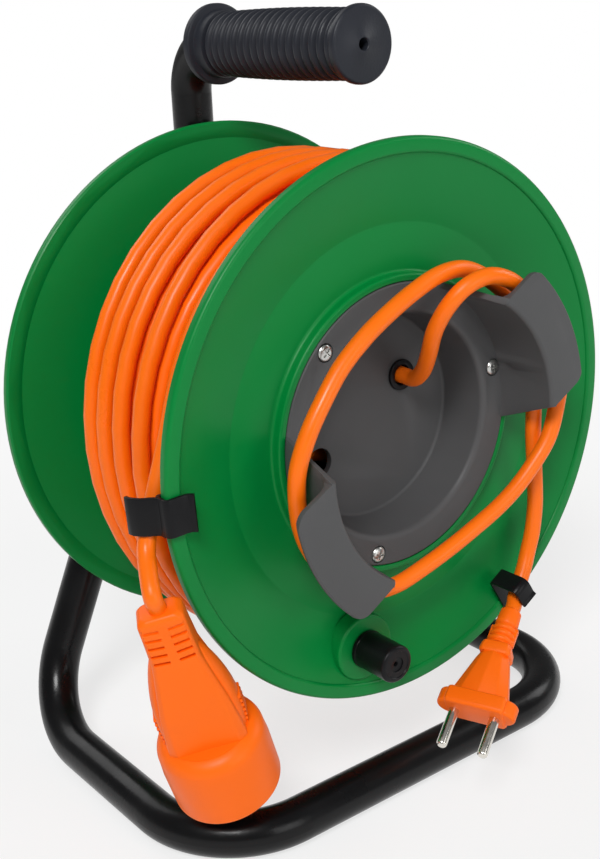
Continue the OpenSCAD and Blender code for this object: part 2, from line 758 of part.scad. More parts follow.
// Middle line of the plug's clip: in behind the rim, round its edge, forward past the
// rim, and in again over the cord
function plug_line() =
    let (top = clip_front + cord_d + 8.5, bend = 3)
    concat(
        [[rim_inner_r - 1, clip_back]],
        arc(clip_out_r - 1, clip_back + 1, 1, -90, 0, 3),
        arc(clip_out_r - bend, top - bend, bend, 0, 90, 5),
        [[rim_inner_r - 9, top], [rim_inner_r - 12, top - 1.8]]
    );

module clip_at(dir) on_axle() rotate(dir) translate([0, clip_w / 2, 0]) rotate([90, 0, 0])
    linear_extrude(height = clip_w) children();

module socket_clip() color(black) clip_at(socket_clip_dir) strip(socket_line());
module plug_clip() color(black) clip_at(plug_clip_dir) strip(plug_line());

// ---- Wound cord ----

// The deep layers reach less far to the rear the higher they lie
module wound_core() color(orange) on_axle() rotate_extrude() {
    layer = (wound_core_r - drum_r - seat) / deep_layers;
    bed = -pile_rear - turn_sway - cord_r;
    polygon([
        [drum_r + seat, wound_half], [wound_core_r, wound_half], [wound_core_r, bed],
        [wound_core_r - layer, bed - cord_d], [drum_r + seat, bed - 2.4 * cord_d]
    ]);
}

// A point of the winding after a number of turns: the close layer runs from front to
// rear, the cord climbs on its last half turn, and the loose turns run back to the front
function wound_y(u) =
    u < close_turns + climb_turns ? -close_front + (close_front + pile_rear) * u / (close_turns + climb_turns)
    : pile_rear - (pile_rear + loose_end) * (u - close_turns - climb_turns) / loose_turns;
function sway(y) = turn_sway * (front_sway + (1 - front_sway) * (y + close_front) / (close_front + pile_rear));
function wound_r(u) =
    u < close_turns ? close_r
    : u < close_turns + climb_turns
    ? close_r + (loose_r - close_r) * (1 - cos(180 * (u - close_turns) / climb_turns)) / 2
    : loose_r;
function wound_point(u) =
    let (a = first_dir + 360 * u, r = wound_r(u))
    [r * cos(a), wound_y(u) + sway(wound_y(u)) * cos(a - sway_dir), r * sin(a)];
function straight_on(p, q, l) = p + l * unit(p - q);
wound_inner = [for (i = [0 : round(total_turns * wound_steps)]) wound_point(i / wound_steps)];
wound_points = concat(
    [straight_on(wound_inner[0], wound_inner[1], cord_d)],
    wound_inner,
    [straight_on(wound_inner[len(wound_inner) - 1], wound_inner[len(wound_inner) - 2], cord_d)]
);

// Least distance from one turn to those beside it and above it, less the cord
wound_gap = min([for (i = [0 : len(wound_inner) - 1])
    for (j = [i + round(wound_steps / 2) : len(wound_inner) - 1])
    norm(wound_inner[i] - wound_inner[j])]) - cord_d;
echo(wound_gap_mm = wound_gap);
echo(wound_length_mm = sum_of(wound_points, 0));
function sum_of(p, i) = i >= len(p) - 1 ? 0 : norm(p[i + 1] - p[i]) + sum_of(p, i + 1);

module wound_cord() color(orange) at_reel() sweep(wound_points, cord_r, 6, [0, 1, 0]);

// ---- Leads ----

module inner_lead() color(orange) at_reel() sweep(inner_points, cord_r, 8, [0, 0, 1]);
inner_points = concat(
    inner_route,
    [[lead_hole[0], -cup_floor - 1, lead_hole[1]], lead_route[0]]
);

module plug_lead() color(orange) at_reel() sweep(plug_points, cord_r, 8, [0, 0, 1]);
plug_points = concat(lead_route, [plug_top - 4 * facing(plug_turn), plug_top]);

module at_plug() at_reel() translate(plug_top) rotate(plug_turn) children();

// The ribbed sleeve that keeps the lead from kinking at the plug
module plug_relief() color(orange) at_plug() rotate_extrude() difference() {
    polygon([[0, 0], [cord_r + 1.2, 0], [cord_r + 2.8, plug_relief_l], [0, plug_relief_l]]);
    for (i = [1 : 4]) translate([cord_r + 0.9 + 0.25 * i, 4 + 3.2 * i]) square([5, 1.4]);
    translate([-20, -cut]) square([20, plug_relief_l + 2 * cut]);
}

plug_face = plug_relief_l + plug_l;

// The plug's body: a stepped neck, a tapered middle and a grip plate with two lobes
module plug_body() color(orange) at_plug() difference() {
    plate_t2 = 8.5;
    neck_l = 6;
    lobe_r = 5.6;
    union() {
        intersection() {
            rotate([90, 0, 0]) linear_extrude(height = 30, center = true) polygon([
                [-7, plug_relief_l], [7, plug_relief_l], [7.5, plug_relief_l + neck_l],
                [pin_pitch / 2 + 4.5, plug_face - plate_t2], [pin_pitch / 2 + 4.5, plug_face],
                [-pin_pitch / 2 - 4.5, plug_face], [-pin_pitch / 2 - 4.5, plug_face - plate_t2],
                [-7.5, plug_relief_l + neck_l]]);
            rotate([90, 0, 90]) linear_extrude(height = 60, center = true) polygon([
                [-6.2, plug_relief_l], [6.2, plug_relief_l], [6.2, plug_relief_l + neck_l],
                [6.9, plug_relief_l + neck_l + 2], [8, plug_face - 1.5], [7, plug_face], [-7, plug_face],
                [-8, plug_face - 1.5], [-6.9, plug_relief_l + neck_l + 2], [-6.2, plug_relief_l + neck_l]]);
        }
        for (side = [-1, 1]) translate([side * (plug_w / 2 - lobe_r), 0, plug_face - plate_t2]) {
            cylinder(r = lobe_r, h = plate_t2 - 0.8);
            translate([side > 0 ? -2 * lobe_r : 0, -lobe_r, 0]) cube([2 * lobe_r, 2 * lobe_r, plate_t2 - 0.8]);
        }
    }
    for (side = [-1, 1]) translate([side * pin_pitch / 2, 0, plug_face - 10])
        cylinder(r = pin_root_r + 0.02, h = 20, $fn = 48);
}

pin_root_r = pin_r - 0.5;

module plug_pins() color(zinc) at_plug() for (side = [-1, 1])
    translate([side * pin_pitch / 2, 0, plug_face]) {
        translate([0, 0, -9.9]) cylinder(r = pin_root_r, h = 10, $fn = 48);
        cylinder(r = pin_r, h = pin_l - 1, $fn = 48);
        translate([0, 0, pin_l - 1]) cylinder(r1 = pin_r, r2 = pin_r - 0.9, h = 1, $fn = 48);
    }

module socket_lead() color(orange) at_reel() {
    lay_y = -loose_end - front_sway * turn_sway - cord_d - 2.3;
    lay = [for (a = [wound_end_dir : 10 : leave_dir]) [loose_r * cos(a), lay_y, loose_r * sin(a)]];
    neck = socket_top - 8 * facing(socket_turn);
    sweep(concat(lay, socket_route, [neck, socket_top]), cord_r, 8, [0, 1, 0]);
}

module at_socket() at_reel() translate(socket_top) rotate(socket_turn) children();

skirt_top = socket_l - skirt_l;

// The socket: a slotted neck, a flat tapered body and a round skirt with a deep mouth
module socket_body() color(orange) at_socket() difference() {
    neck_w = 9.5;
    neck_l = 24;
    union() {
        intersection() {
            rotate([90, 0, 0]) linear_extrude(height = 60, center = true) polygon([
                [-neck_w, 0], [neck_w, 0], [neck_w + 1, neck_l], [16.5, skirt_top - 8],
                [17, skirt_top + 12], [-17, skirt_top + 12], [-16.5, skirt_top - 8], [-neck_w - 1, neck_l]]);
            rotate([90, 0, 90]) linear_extrude(height = 60, center = true) polygon([
                [-6.5, 0], [6.5, 0], [8, neck_l], [13, skirt_top - 4], [13, skirt_top + 12],
                [-13, skirt_top + 12], [-13, skirt_top - 4], [-8, neck_l]]);
        }
        rotate_extrude() polygon(concat(
            [[0, skirt_top - 2], [skirt_r - 9, skirt_top - 1]],
            arc(skirt_r - 6, skirt_top + 6, 6, 90 + 180, 360, 8),
            [[skirt_r, skirt_top + 8], [skirt_r - 0.6, socket_l - 2]],
            arc(skirt_r - 2.6, socket_l - 2, 2, 0, 90, 5),
            [[0, socket_l]]
        ));
        for (side = [-1, 1]) for (i = [0 : 4])
            translate([side * 16.5, 0, skirt_top - 15 + 3 * i]) cube([2, 12, 1.6], center = true);
    }
    translate([0, 0, socket_l - socket_recess - 22]) cylinder(r = skirt_r - 6 + 0.02, h = 23);
    translate([0, 0, socket_l - socket_recess]) cylinder(r = skirt_r - 4, h = socket_recess + cut);
    for (face = [-1, 1]) for (side = [-1, 1]) for (i = [0 : 4])
        translate([side * 5, face * 8, 5 + 4 * i]) cube([7, 3.4, 1.6], center = true);
}

face_back = socket_l - socket_recess - 22;

// The insulator in the socket's mouth, with two pin holes
module socket_face() color(dark_grey) at_socket() difference() {
    translate([0, 0, face_back]) cylinder(r = skirt_r - 6, h = 22);
    for (side = [-1, 1]) translate([side * pin_pitch / 2, 0, face_back]) {
        translate([0, 0, -cut]) cylinder(r = pin_r + 1.32, h = 20 + cut, $fn = 48);
        cylinder(r = pin_r + 0.3, h = 30, $fn = 48);
    }
}

module socket_contacts() color(brass) at_socket() for (side = [-1, 1])
    translate([side * pin_pitch / 2, 0, face_back]) difference() {
        cylinder(r = pin_r + 1.3, h = 19.9, $fn = 48);
        translate([0, 0, 1]) cylinder(r = pin_r + run_gap, h = 30, $fn = 48);
    }

base_tube();
left_leg();
right_leg();
riser_tube();
handle_grip();
axle_plate();
axle();
axle_washer();
axle_nut();
axle_retainer();
front_flange();
rear_flange();
drum_shell();
drum_partition();
front_bush();
rear_bush();
hub_insert();
insert_screws();
rear_screws();
lead_collar();
knob_pin();
crank_knob();
socket_clip();
plug_clip();
wound_core();
wound_cord();
inner_lead();
plug_lead();
plug_relief();
plug_body();
plug_pins();
socket_lead();
socket_body();
socket_face();
socket_contacts();
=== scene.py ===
"""Dresses the hand-held extension cord reel: finishes, cords, mouldings and the stage.

Lengths given as numbers are in millimetres and become metres where a mesh is made.
Two sets of axes are used. "On the axle" has x to the right, y up and z forward, out of
the front of the reel. "From the reel's middle" has the frame's own axes.
"""

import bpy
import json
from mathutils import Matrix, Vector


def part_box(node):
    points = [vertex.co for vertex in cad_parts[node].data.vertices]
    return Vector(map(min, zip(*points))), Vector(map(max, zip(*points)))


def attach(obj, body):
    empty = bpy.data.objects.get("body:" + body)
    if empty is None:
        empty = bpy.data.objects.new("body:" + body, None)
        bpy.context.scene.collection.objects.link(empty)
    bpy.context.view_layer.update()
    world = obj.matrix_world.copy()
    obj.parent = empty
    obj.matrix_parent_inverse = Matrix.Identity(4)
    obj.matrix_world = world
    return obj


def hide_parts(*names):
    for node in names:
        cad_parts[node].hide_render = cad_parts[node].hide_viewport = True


bl_info = {
    "name": "Cord Reel",
    "version": (1, 0, 0),
    "blender": (4, 5, 0),
    "location": "3D View > Sidebar > Cord Reel",
    "description": "Dresses the extension cord reel with its cords, mouldings and finishes",
    "category": "Object",
}

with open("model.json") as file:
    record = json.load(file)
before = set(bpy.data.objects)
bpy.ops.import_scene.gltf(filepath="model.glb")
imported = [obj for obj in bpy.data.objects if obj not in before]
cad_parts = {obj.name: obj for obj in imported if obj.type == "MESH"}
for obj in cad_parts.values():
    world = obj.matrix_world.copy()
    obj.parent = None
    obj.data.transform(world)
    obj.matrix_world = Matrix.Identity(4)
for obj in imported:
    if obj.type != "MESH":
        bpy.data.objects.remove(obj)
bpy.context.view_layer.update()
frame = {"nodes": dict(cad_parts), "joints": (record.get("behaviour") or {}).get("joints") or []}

import json
import math
from contextlib import contextmanager
from itertools import product

import bmesh
import bpy
from bpy.props import BoolProperty, FloatProperty, FloatVectorProperty, IntProperty, PointerProperty
from mathutils import Euler, Matrix, Vector

MM = 0.001

# ---- The frame's own sizes ----

SPIN = next(j for j in frame["joints"] if j["name"] == "drum_spin")
MIDDLE = Vector(SPIN["pos_m"])
FLANGE_LOW, FLANGE_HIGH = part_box("front_flange")
COLLAR_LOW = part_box("lead_collar")[0]
GRIP_LOW, GRIP_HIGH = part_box("handle_grip")
KNOB_LOW, KNOB_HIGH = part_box("crank_knob")

FLANGE_R = (FLANGE_HIGH.x - FLANGE_LOW.x) / 2 / MM
RIM_FACE = (MIDDLE.y - FLANGE_LOW.y) / MM
WEB_FACE = RIM_FACE - 10
WEB_T = 2.5
RIM_W = 7
RIM_T = 5
RIM_STEP = 1.4
HUB_RING_R = 67.5
RING_FACE = WEB_FACE + 5
DRUM_R = 85
CONE_FOOT_R = DRUM_R + 0.6
INSERT_R = 64
POCKET_R = INSERT_R + 0.3
INSERT_FACE = RING_FACE + 0.3
HUB_OPENING_R = 54
SCREW_R = 58.75
SCREW_DIRS = (15, 135, 255)
KNOB_REACH = 101
KNOB_DIR = 254
KNOB_BOSS_R = 15.5
KNOB_BORE_R = 4.1
KNOB_BOSS_FACE = RIM_FACE - 0.5
KNOB_R = (KNOB_HIGH.x - KNOB_LOW.x) / 2 / MM
KNOB_L = (KNOB_HIGH.y - KNOB_LOW.y) / MM

# ---- The scene's own sizes ----

# The camera: its lens, its axes to the right, up and back, and its place in metres
CAMERA_LENS = 54.03
CAMERA_AXES = ((0.78622, -0.61659, -0.04097), (0.22638, 0.22570, 0.94753), (-0.57499, -0.75424, 0.31703))
CAMERA_PLACE = (-0.36107, -0.46431, 0.35600)

# The lamps: name, place and side in metres, and power. The first two are always used.
LAMPS = (
    ("Key", (-1.2, -1.1, 1.7), 0.6, 33), ("Front", (0.2, -1.9, 0.7), 0.9, 7),
    ("Right", (1.7, -0.6, 1.1), 0.8, 8), ("Back", (-0.3, 1.6, 1.5), 1.2, 10),
)

# The thickness of a weld bead
BEAD_D = 3.0

# One rib of the grip, as points out from its core and back along it
RIB = ((0, 0), (0.3, 0.3), (1.6, 0.7), (2.2, 1.35), (2.4, 2.1), (2.2, 2.9), (1.6, 3.6), (0.3, 4.1))

# The clips: strips of spring plastic that grip the rim, in reach and height
CLIP_T = 1.6
SOCKET_CLIP_W = 16
PLUG_CLIP_W = 9
CLIP_OUT = 126.1
CLIP_FRONT = RIM_FACE + 1.1
CLIP_BACK = RIM_FACE - 6.1
SOCKET_CLIP_DIR = 183
PLUG_CLIP_DIR = 301.5

# ---- The cords' routes, as the frame has them ----

CORD_D = 7.5
CURVE_STEPS = 6
LEAD_SIDES = 20
WOUND_STEPS = 24
WOUND_CORE_R = 99.55
CLOSE_R = (WOUND_CORE_R + 0.35 + CORD_D / 2) / math.cos(math.pi / WOUND_STEPS)
LOOSE_R = CLOSE_R + CORD_D + 0.6
CLOSE_FRONT = 55
PILE_REAR = 10
CLOSE_TURNS = 7
CLIMB_TURNS = 0.5
LOOSE_TURNS = 4
LOOSE_END = 42
TURN_SWAY = 4.5
FRONT_SWAY = 0.2
SWAY_DIR = 110
WOUND_END_DIR = 98
LEAVE_DIR = 158
TOTAL_TURNS = CLOSE_TURNS + CLIMB_TURNS + LOOSE_TURNS
DEEP_FRONT = 53
DEEP_REARS = (37, 23)
DEEP_TURNS = (11, 9)

LEAD_HOLE = (20, 15)
LEAD_ROUTE = [
    (20, -45, 15), (20, -52, 15), (18, -60, 21), (14, -68, 31), (11, -75, 43),
    (13, -81, 54), (20, -85, 62), (31, -87, 65), (42, -88, 62), (52, -88, 55),
    (61, -88, 46), (68, -88, 36), (74, -87, 24), (78, -87, 10), (77, -86, -5),
    (72, -86, -18), (63, -85, -29), (53, -84, -38), (42, -83, -45), (29, -82, -51),
    (14, -81, -57), (-1, -80, -62), (-17, -79, -66), (-32, -79, -64), (-48, -79, -55),
    (-60, -79, -42), (-68, -80, -28), (-72, -82, -13), (-72, -83, 2), (-67, -84, 16),
    (-59, -84, 28), (-48, -83, 40), (-34, -82, 50), (-19, -80, 57), (-3, -78, 63),
    (13, -76, 67), (28, -75, 67), (42, -75, 61), (54, -75, 52), (63, -75, 41),
    (70, -75, 27), (73, -75, 12), (73, -76, -3), (73, -76, -18), (73, -77, -34),
    (74, -77, -50), (73.5, -77, -60), (72, -77, -69), (69.5, -77, -77), (66, -78, -84),
    (62, -79, -90), (57, -81, -95),
]
PLUG_TOP = (50, -85, -100)
PLUG_TURN = (120, 2, -65)
SOCKET_TOP = (-133.5, -71, -41.5)
SOCKET_TURN = (-164, -13, -33)
SOCKET_ROUTE = [
    (-108.5, -53.5, 33), (-114, -55, 19), (-119, -56, 7), (-123.2, -56.5, -4),
    (-127, -57.5, -14), (-130.5, -60.5, -23),
]
INNER_ROUTE = [
    (-83, -20, 14.4), (-76, -20, 12), (-66, -21, 4), (-55, -23, -4), (-43, -26, -11),
    (-30, -27, -14), (-16, -24, -19), (0, -20, -24), (16, -17, -20), (26, -18, -8),
    (28, -23, 4), (25, -30, 11), (21, -37, 15),
]

PLUG_RELIEF_L = 20
PLUG_L = 37
PLUG_W = 37
PIN_PITCH = 19
SOCKET_L = 104
SKIRT_L = 34
SKIRT_R = 24
SOCKET_RECESS = 13


# ---- Places ----

def from_middle(point):
    """A point given in millimetres from the reel's middle, in metres in the frame."""
    return MIDDLE + Vector(point) * MM


def placed(origin, turn):
    """The matrix of a piece that stands at a point and is turned by X, then Y, then Z."""
    angles = Euler([math.radians(a) for a in turn], "XYZ")
    return Matrix.Translation(from_middle(origin)) @ angles.to_matrix().to_4x4() @ Matrix.Scale(MM, 4)


AXLE_FRONT = placed((0, 0, 0), (90, 0, 0))
AXLE_REAR = placed((0, 0, 0), (-90, 0, 0))
PLUG_PLACE = placed(PLUG_TOP, PLUG_TURN)
SOCKET_PLACE = placed(SOCKET_TOP, SOCKET_TURN)


def polar(reach, direction):
    """A point of a circle, its direction in degrees."""
    angle = math.radians(direction)
    return reach * math.cos(angle), reach * math.sin(angle)


def axle_place(reach, direction, forward, front=True):
    """A place on the front of the reel, or on its back, at a reach and direction."""
    x, y = polar(reach, direction if front else -direction)
    base = AXLE_FRONT if front else AXLE_REAR
    return base @ Matrix.Translation((x, y, forward))


def arc(centre_x, centre_y, radius, start, stop, count):
    """Points of an arc, for outlines."""
    points = []
    for i in range(count + 1):
        x, y = polar(radius, start + (stop - start) * i / count)
        points.append((centre_x + x, centre_y + y))
    return points


# ---- Mesh helpers ----

def piece_from(name, mesh):
    """Links a mesh as an object at the origin."""
    piece = bpy.data.objects.new(name, mesh)
    bpy.context.scene.collection.objects.link(piece)
    return piece


def discard(piece):
    """Deletes a piece and its mesh."""
    mesh = piece.data
    bpy.data.objects.remove(piece)
    bpy.data.meshes.remove(mesh)


@contextmanager
def editing(mesh):
    """Opens a mesh for work on its corners and faces, and writes it back."""
    work = bmesh.new()
    work.from_mesh(mesh)
    yield work
    work.to_mesh(mesh)
    work.free()


def shade(mesh, smooth=True):
    """Shades every face smooth, or flat."""
    mesh.polygons.foreach_set("use_smooth", [smooth] * len(mesh.polygons))


def close_up(mesh):
    """Merges a mesh's doubles and turns its faces outwards."""
    with editing(mesh) as work:
        bmesh.ops.remove_doubles(work, verts=work.verts, dist=1e-7)
        bmesh.ops.recalc_face_normals(work, faces=work.faces)


def mesh_of(name, vertices, faces, smooth=True):
    """A closed mesh with its doubles merged and its faces outwards."""
    mesh = bpy.data.meshes.new(name)
    mesh.from_pydata([tuple(v) for v in vertices], [], faces)
    close_up(mesh)
    shade(mesh, smooth)
    return mesh


def crease_by_angle(mesh, degrees=32):
    """Marks edges sharper than an angle, so that they shade crisply."""
    mesh.set_sharp_from_angle(angle=math.radians(degrees))


def lathe(name, outline, place, sides=160, sharp=32):
    """Turns a closed outline of (radius, height) points about its own axis."""
    vertices, rings = [], []
    for radius, height in outline:
        if radius < 1e-6:
            rings.append([len(vertices)] * sides)
            vertices.append(place @ Vector((0, 0, height)))
            continue
        rings.append(list(range(len(vertices), len(vertices) + sides)))
        for k in range(sides):
            x, y = polar(radius, 360 * k / sides)
            vertices.append(place @ Vector((x, y, height)))
    faces = []
    touches_axis = outline[0][0] < 1e-6 and outline[-1][0] < 1e-6
    pairs = len(rings) - 1 if touches_axis else len(rings)
    for i in range(pairs):
        low, high = rings[i], rings[(i + 1) % len(rings)]
        for k in range(sides):
            nxt = (k + 1) % sides
            corner = [low[k], low[nxt], high[nxt], high[k]]
            face = [v for n, v in enumerate(corner) if v not in corner[:n]]
            if len(face) > 2:
                faces.append(face)
    mesh = mesh_of(name, vertices, faces)
    crease_by_angle(mesh, sharp)
    return piece_from(name, mesh)


def loft(name, sections, place):
    """A closed skin over sections with the same number of points each."""
    count = len(sections[0])
    vertices = [place @ Vector(p) for section in sections for p in section]
    faces = []
    for i in range(len(sections) - 1):
        for k in range(count):
            nxt = (k + 1) % count
            a, b = i * count, (i + 1) * count
            faces.append([a + k, a + nxt, b + nxt, b + k])
    faces.append(list(range(count))[::-1])
    faces.append(list(range(len(vertices) - count, len(vertices))))
    mesh = mesh_of(name, vertices, faces)
    crease_by_angle(mesh)
    return piece_from(name, mesh)


def block_section(half_w, half_t, height, chamfer_w, chamfer_t, ridge=0.0):
    """A section with chamfered corners and a ridge along both broad faces."""
    w, t = half_w, half_t
    return [
        (w, -t + chamfer_t, height), (w, t - chamfer_t, height), (w - chamfer_w, t, height),
        (0, t + ridge, height), (-w + chamfer_w, t, height), (-w, t - chamfer_t, height),
        (-w, -t + chamfer_t, height), (-w + chamfer_w, -t, height),
        (0, -t - ridge, height), (w - chamfer_w, -t, height),
    ]


def tapered(name, place, start, rows):
    """A loft of block sections: half width, half thickness, height and chamfers in each row."""
    return loft(name, [block_section(w, t, start + z, *rest) for w, t, z, *rest in rows], place)


def box_at(centre, size, place, turn=0.0):
    """The corners and faces of a block, for cutters and ribs."""
    corners = []
    for signs in product((-1, 1), repeat=3):
        local = Vector([sign * side / 2 for sign, side in zip(signs, size)])
        local.rotate(Euler((0, math.radians(turn), 0)))
        corners.append(place @ (Vector(centre) + local))
    faces = [(0, 1, 3, 2), (4, 6, 7, 5), (0, 4, 5, 1), (2, 3, 7, 6), (0, 2, 6, 4), (1, 5, 7, 3)]
    return corners, faces


def blocks(name, items):
    """One mesh of several separate blocks."""
    vertices, faces = [], []
    for corners, sides in items:
        start = len(vertices)
        vertices.extend(corners)
        faces.extend([[start + i for i in side] for side in sides])
    return mesh_of(name, vertices, faces, smooth=False)


def bake(piece):
    """Applies every modifier and leaves a plain mesh on the same object."""
    bpy.context.view_layer.update()
    graph = bpy.context.evaluated_depsgraph_get()
    mesh = bpy.data.meshes.new_from_object(piece.evaluated_get(graph))
    old = piece.data
    piece.modifiers.clear()
    piece.data = mesh
    if old.users == 0:
        bpy.data.meshes.remove(old)
    return piece


def cut(piece, cutter_mesh):
    """Takes a cutter's shape out of a piece."""
    cutter = piece_from(piece.name + "_cutter", cutter_mesh)
    boolean = piece.modifiers.new("cut", "BOOLEAN")
    boolean.operation = "DIFFERENCE"
    boolean.solver = "EXACT"
    boolean.object = cutter
    bake(piece)
    discard(cutter)
    crease_by_angle(piece.data)
    return piece


def soften(piece, width, segments=2, angle=32):
    """Rounds a piece's edges by a small radius, in millimetres."""
    bevel = piece.modifiers.new("soft edges", "BEVEL")
    bevel.width = width * MM
    bevel.segments = segments
    bevel.limit_method = "ANGLE"
    bevel.angle_limit = math.radians(angle)
    bake(piece)
    crease_by_angle(piece.data, 40)
    return piece


def joined(name, pieces):
    """Several pieces as one mesh."""
    work = bmesh.new()
    for piece in pieces:
        work.from_mesh(piece.data)
    mesh = bpy.data.meshes.new(name)
    work.to_mesh(mesh)
    work.free()
    for piece in pieces:
        discard(piece)
    shade(mesh)
    crease_by_angle(mesh)
    return piece_from(name, mesh)


def dress(piece, slot):
    """Gives a piece the finish of its slot."""
    piece.data.materials.clear()
    piece.data.materials.append(finish(slot))


def hand_over(piece, body, slot, *nodes):
    """Dresses a piece, and makes it ride on its body and stand for its nodes."""
    dress(piece, slot)
    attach(piece, body)
    if nodes:
        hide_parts(*nodes)
    return piece


def softened_copy(node, body, slot, width, level=None):
    """A node's own shape with its edges rounded, as a piece that stands for it.

    The flat faces at a level on Y, in millimetres, keep the node's own triangles."""
    mesh = frame["nodes"][node].data.copy()
    with editing(mesh) as work:
        bmesh.ops.remove_doubles(work, verts=work.verts, dist=2e-6)
        free = {v for v in work.verts if level is None or abs(v.co.y / MM - level) > 0.05}
        bmesh.ops.dissolve_limit(
            work, angle_limit=math.radians(1), use_dissolve_boundaries=False,
            verts=[v for v in work.verts if v in free],
            edges=[e for e in work.edges if not free.isdisjoint(e.verts)], delimit={"NORMAL"},
        )
    shade(mesh)
    mesh.name = node + "_moulding"
    piece = soften(piece_from(mesh.name, mesh), width)
    return hand_over(piece, body, slot, node)


# ---- Node trees ----

class Tree:
    """Adds nodes to a tree and links them by socket."""

    def __init__(self, tree):
        self.tree = tree
        tree.nodes.clear()

    def add(self, kind, values=None, **settings):
        """A node with its settings, and its inputs by name or number.

        A node given as an input stands for its first output."""
        node = self.tree.nodes.new(kind)
        for key, value in settings.items():
            setattr(node, key, value)
        for key, value in (values or {}).items():
            if isinstance(value, bpy.types.Node):
                value = value.outputs[0]
            if isinstance(value, bpy.types.NodeSocket):
                self.tree.links.new(value, node.inputs[key])
            else:
                node.inputs[key].default_value = value
        return node


def geometry_tree(name, inputs):
    """An empty geometry tree with its named inputs, and the sockets that they give."""
    group = bpy.data.node_groups.new(name, "GeometryNodeTree")
    group.is_modifier = True
    group.interface.new_socket("Geometry", in_out="INPUT", socket_type="NodeSocketGeometry")
    for label, kind in inputs:
        group.interface.new_socket(label, in_out="INPUT", socket_type=kind)
    group.interface.new_socket("Geometry", in_out="OUTPUT", socket_type="NodeSocketGeometry")
    tree = Tree(group)
    start = tree.add("NodeGroupInput")
    return tree, start.outputs


def close_tree(tree, geometry):
    """Ends a geometry tree in real meshes."""
    real = tree.add("GeometryNodeRealizeInstances", {0: geometry})
    tree.add("NodeGroupOutput", {0: real})
    return tree.tree


def cord_tree():
    """A round cord along a line of points, with its own length stored as the attribute along."""
    tree, given = geometry_tree("Round cord", [("Diameter", "NodeSocketFloat"), ("Sides", "NodeSocketInt")])
    line = tree.add("GeometryNodeMeshToCurve", {"Mesh": given["Geometry"]})
    along = tree.add("GeometryNodeSplineParameter")
    kept = tree.add("GeometryNodeStoreNamedAttribute", {
        "Geometry": line, "Name": "along", "Value": along.outputs["Length"],
    }, data_type="FLOAT", domain="POINT")
    radius = tree.add("ShaderNodeMath", {0: given["Diameter"], 1: 0.5}, operation="MULTIPLY")
    ring = tree.add("GeometryNodeCurvePrimitiveCircle", {"Resolution": given["Sides"], "Radius": radius})
    tube = tree.add("GeometryNodeCurveToMesh", {"Curve": kept, "Profile Curve": ring, "Fill Caps": True})
    return close_tree(tree, tree.add("GeometryNodeSetShadeSmooth", {"Geometry": tube}))


def copies_tree():
    """Copies of one piece at points that hold their own turn."""
    tree, given = geometry_tree("Copies at places", [
        ("Piece", "NodeSocketObject"), ("Size", "NodeSocketFloat"),
    ])
    source = tree.add("GeometryNodeObjectInfo", {"Object": given["Piece"]}, transform_space="ORIGINAL")
    turn = tree.add("GeometryNodeInputNamedAttribute", {"Name": "turn"}, data_type="FLOAT_VECTOR")
    return close_tree(tree, tree.add("GeometryNodeInstanceOnPoints", {
        "Points": given["Geometry"], "Instance": source.outputs["Geometry"],
        "Rotation": turn, "Scale": given["Size"],
    }))


def grown(piece, name, make, values):
    """Runs a piece through a geometry tree that is made once, with its inputs by name."""
    modifier = piece.modifiers.new(name, "NODES")
    modifier.node_group = bpy.data.node_groups.get(name) or make()
    for item in modifier.node_group.interface.items_tree:
        if item.item_type == "SOCKET" and item.in_out == "INPUT" and item.name in values:
            modifier[item.identifier] = values[item.name]
    return bake(piece)


def cord_along(name, points, diameter, sides=16):
    """A cord along points in metres, built by the cord tree and baked."""
    mesh = bpy.data.meshes.new(name)
    mesh.from_pydata([tuple(p) for p in points], [(i, i + 1) for i in range(len(points) - 1)], [])
    values = {"Diameter": diameter * MM, "Sides": sides}
    piece = grown(piece_from(name, mesh), "Round cord", cord_tree, values)
    close_up(piece.data)
    crease_by_angle(piece.data, 60)
    return piece


def copies_of(name, template, places):
    """A template at each of some places, as one baked mesh. The template is used up."""
    mesh = bpy.data.meshes.new(name)
    mesh.from_pydata([tuple(p.to_translation()) for p in places], [], [])
    turns = mesh.attributes.new("turn", "FLOAT_VECTOR", "POINT")
    for item, place in zip(turns.data, places):
        item.vector = place.to_euler("XYZ")
    piece = grown(piece_from(name, mesh), "Copies at places", copies_tree, {"Piece": template, "Size": MM})
    discard(template)
    crease_by_angle(piece.data)
    return piece


# ---- Finishes ----

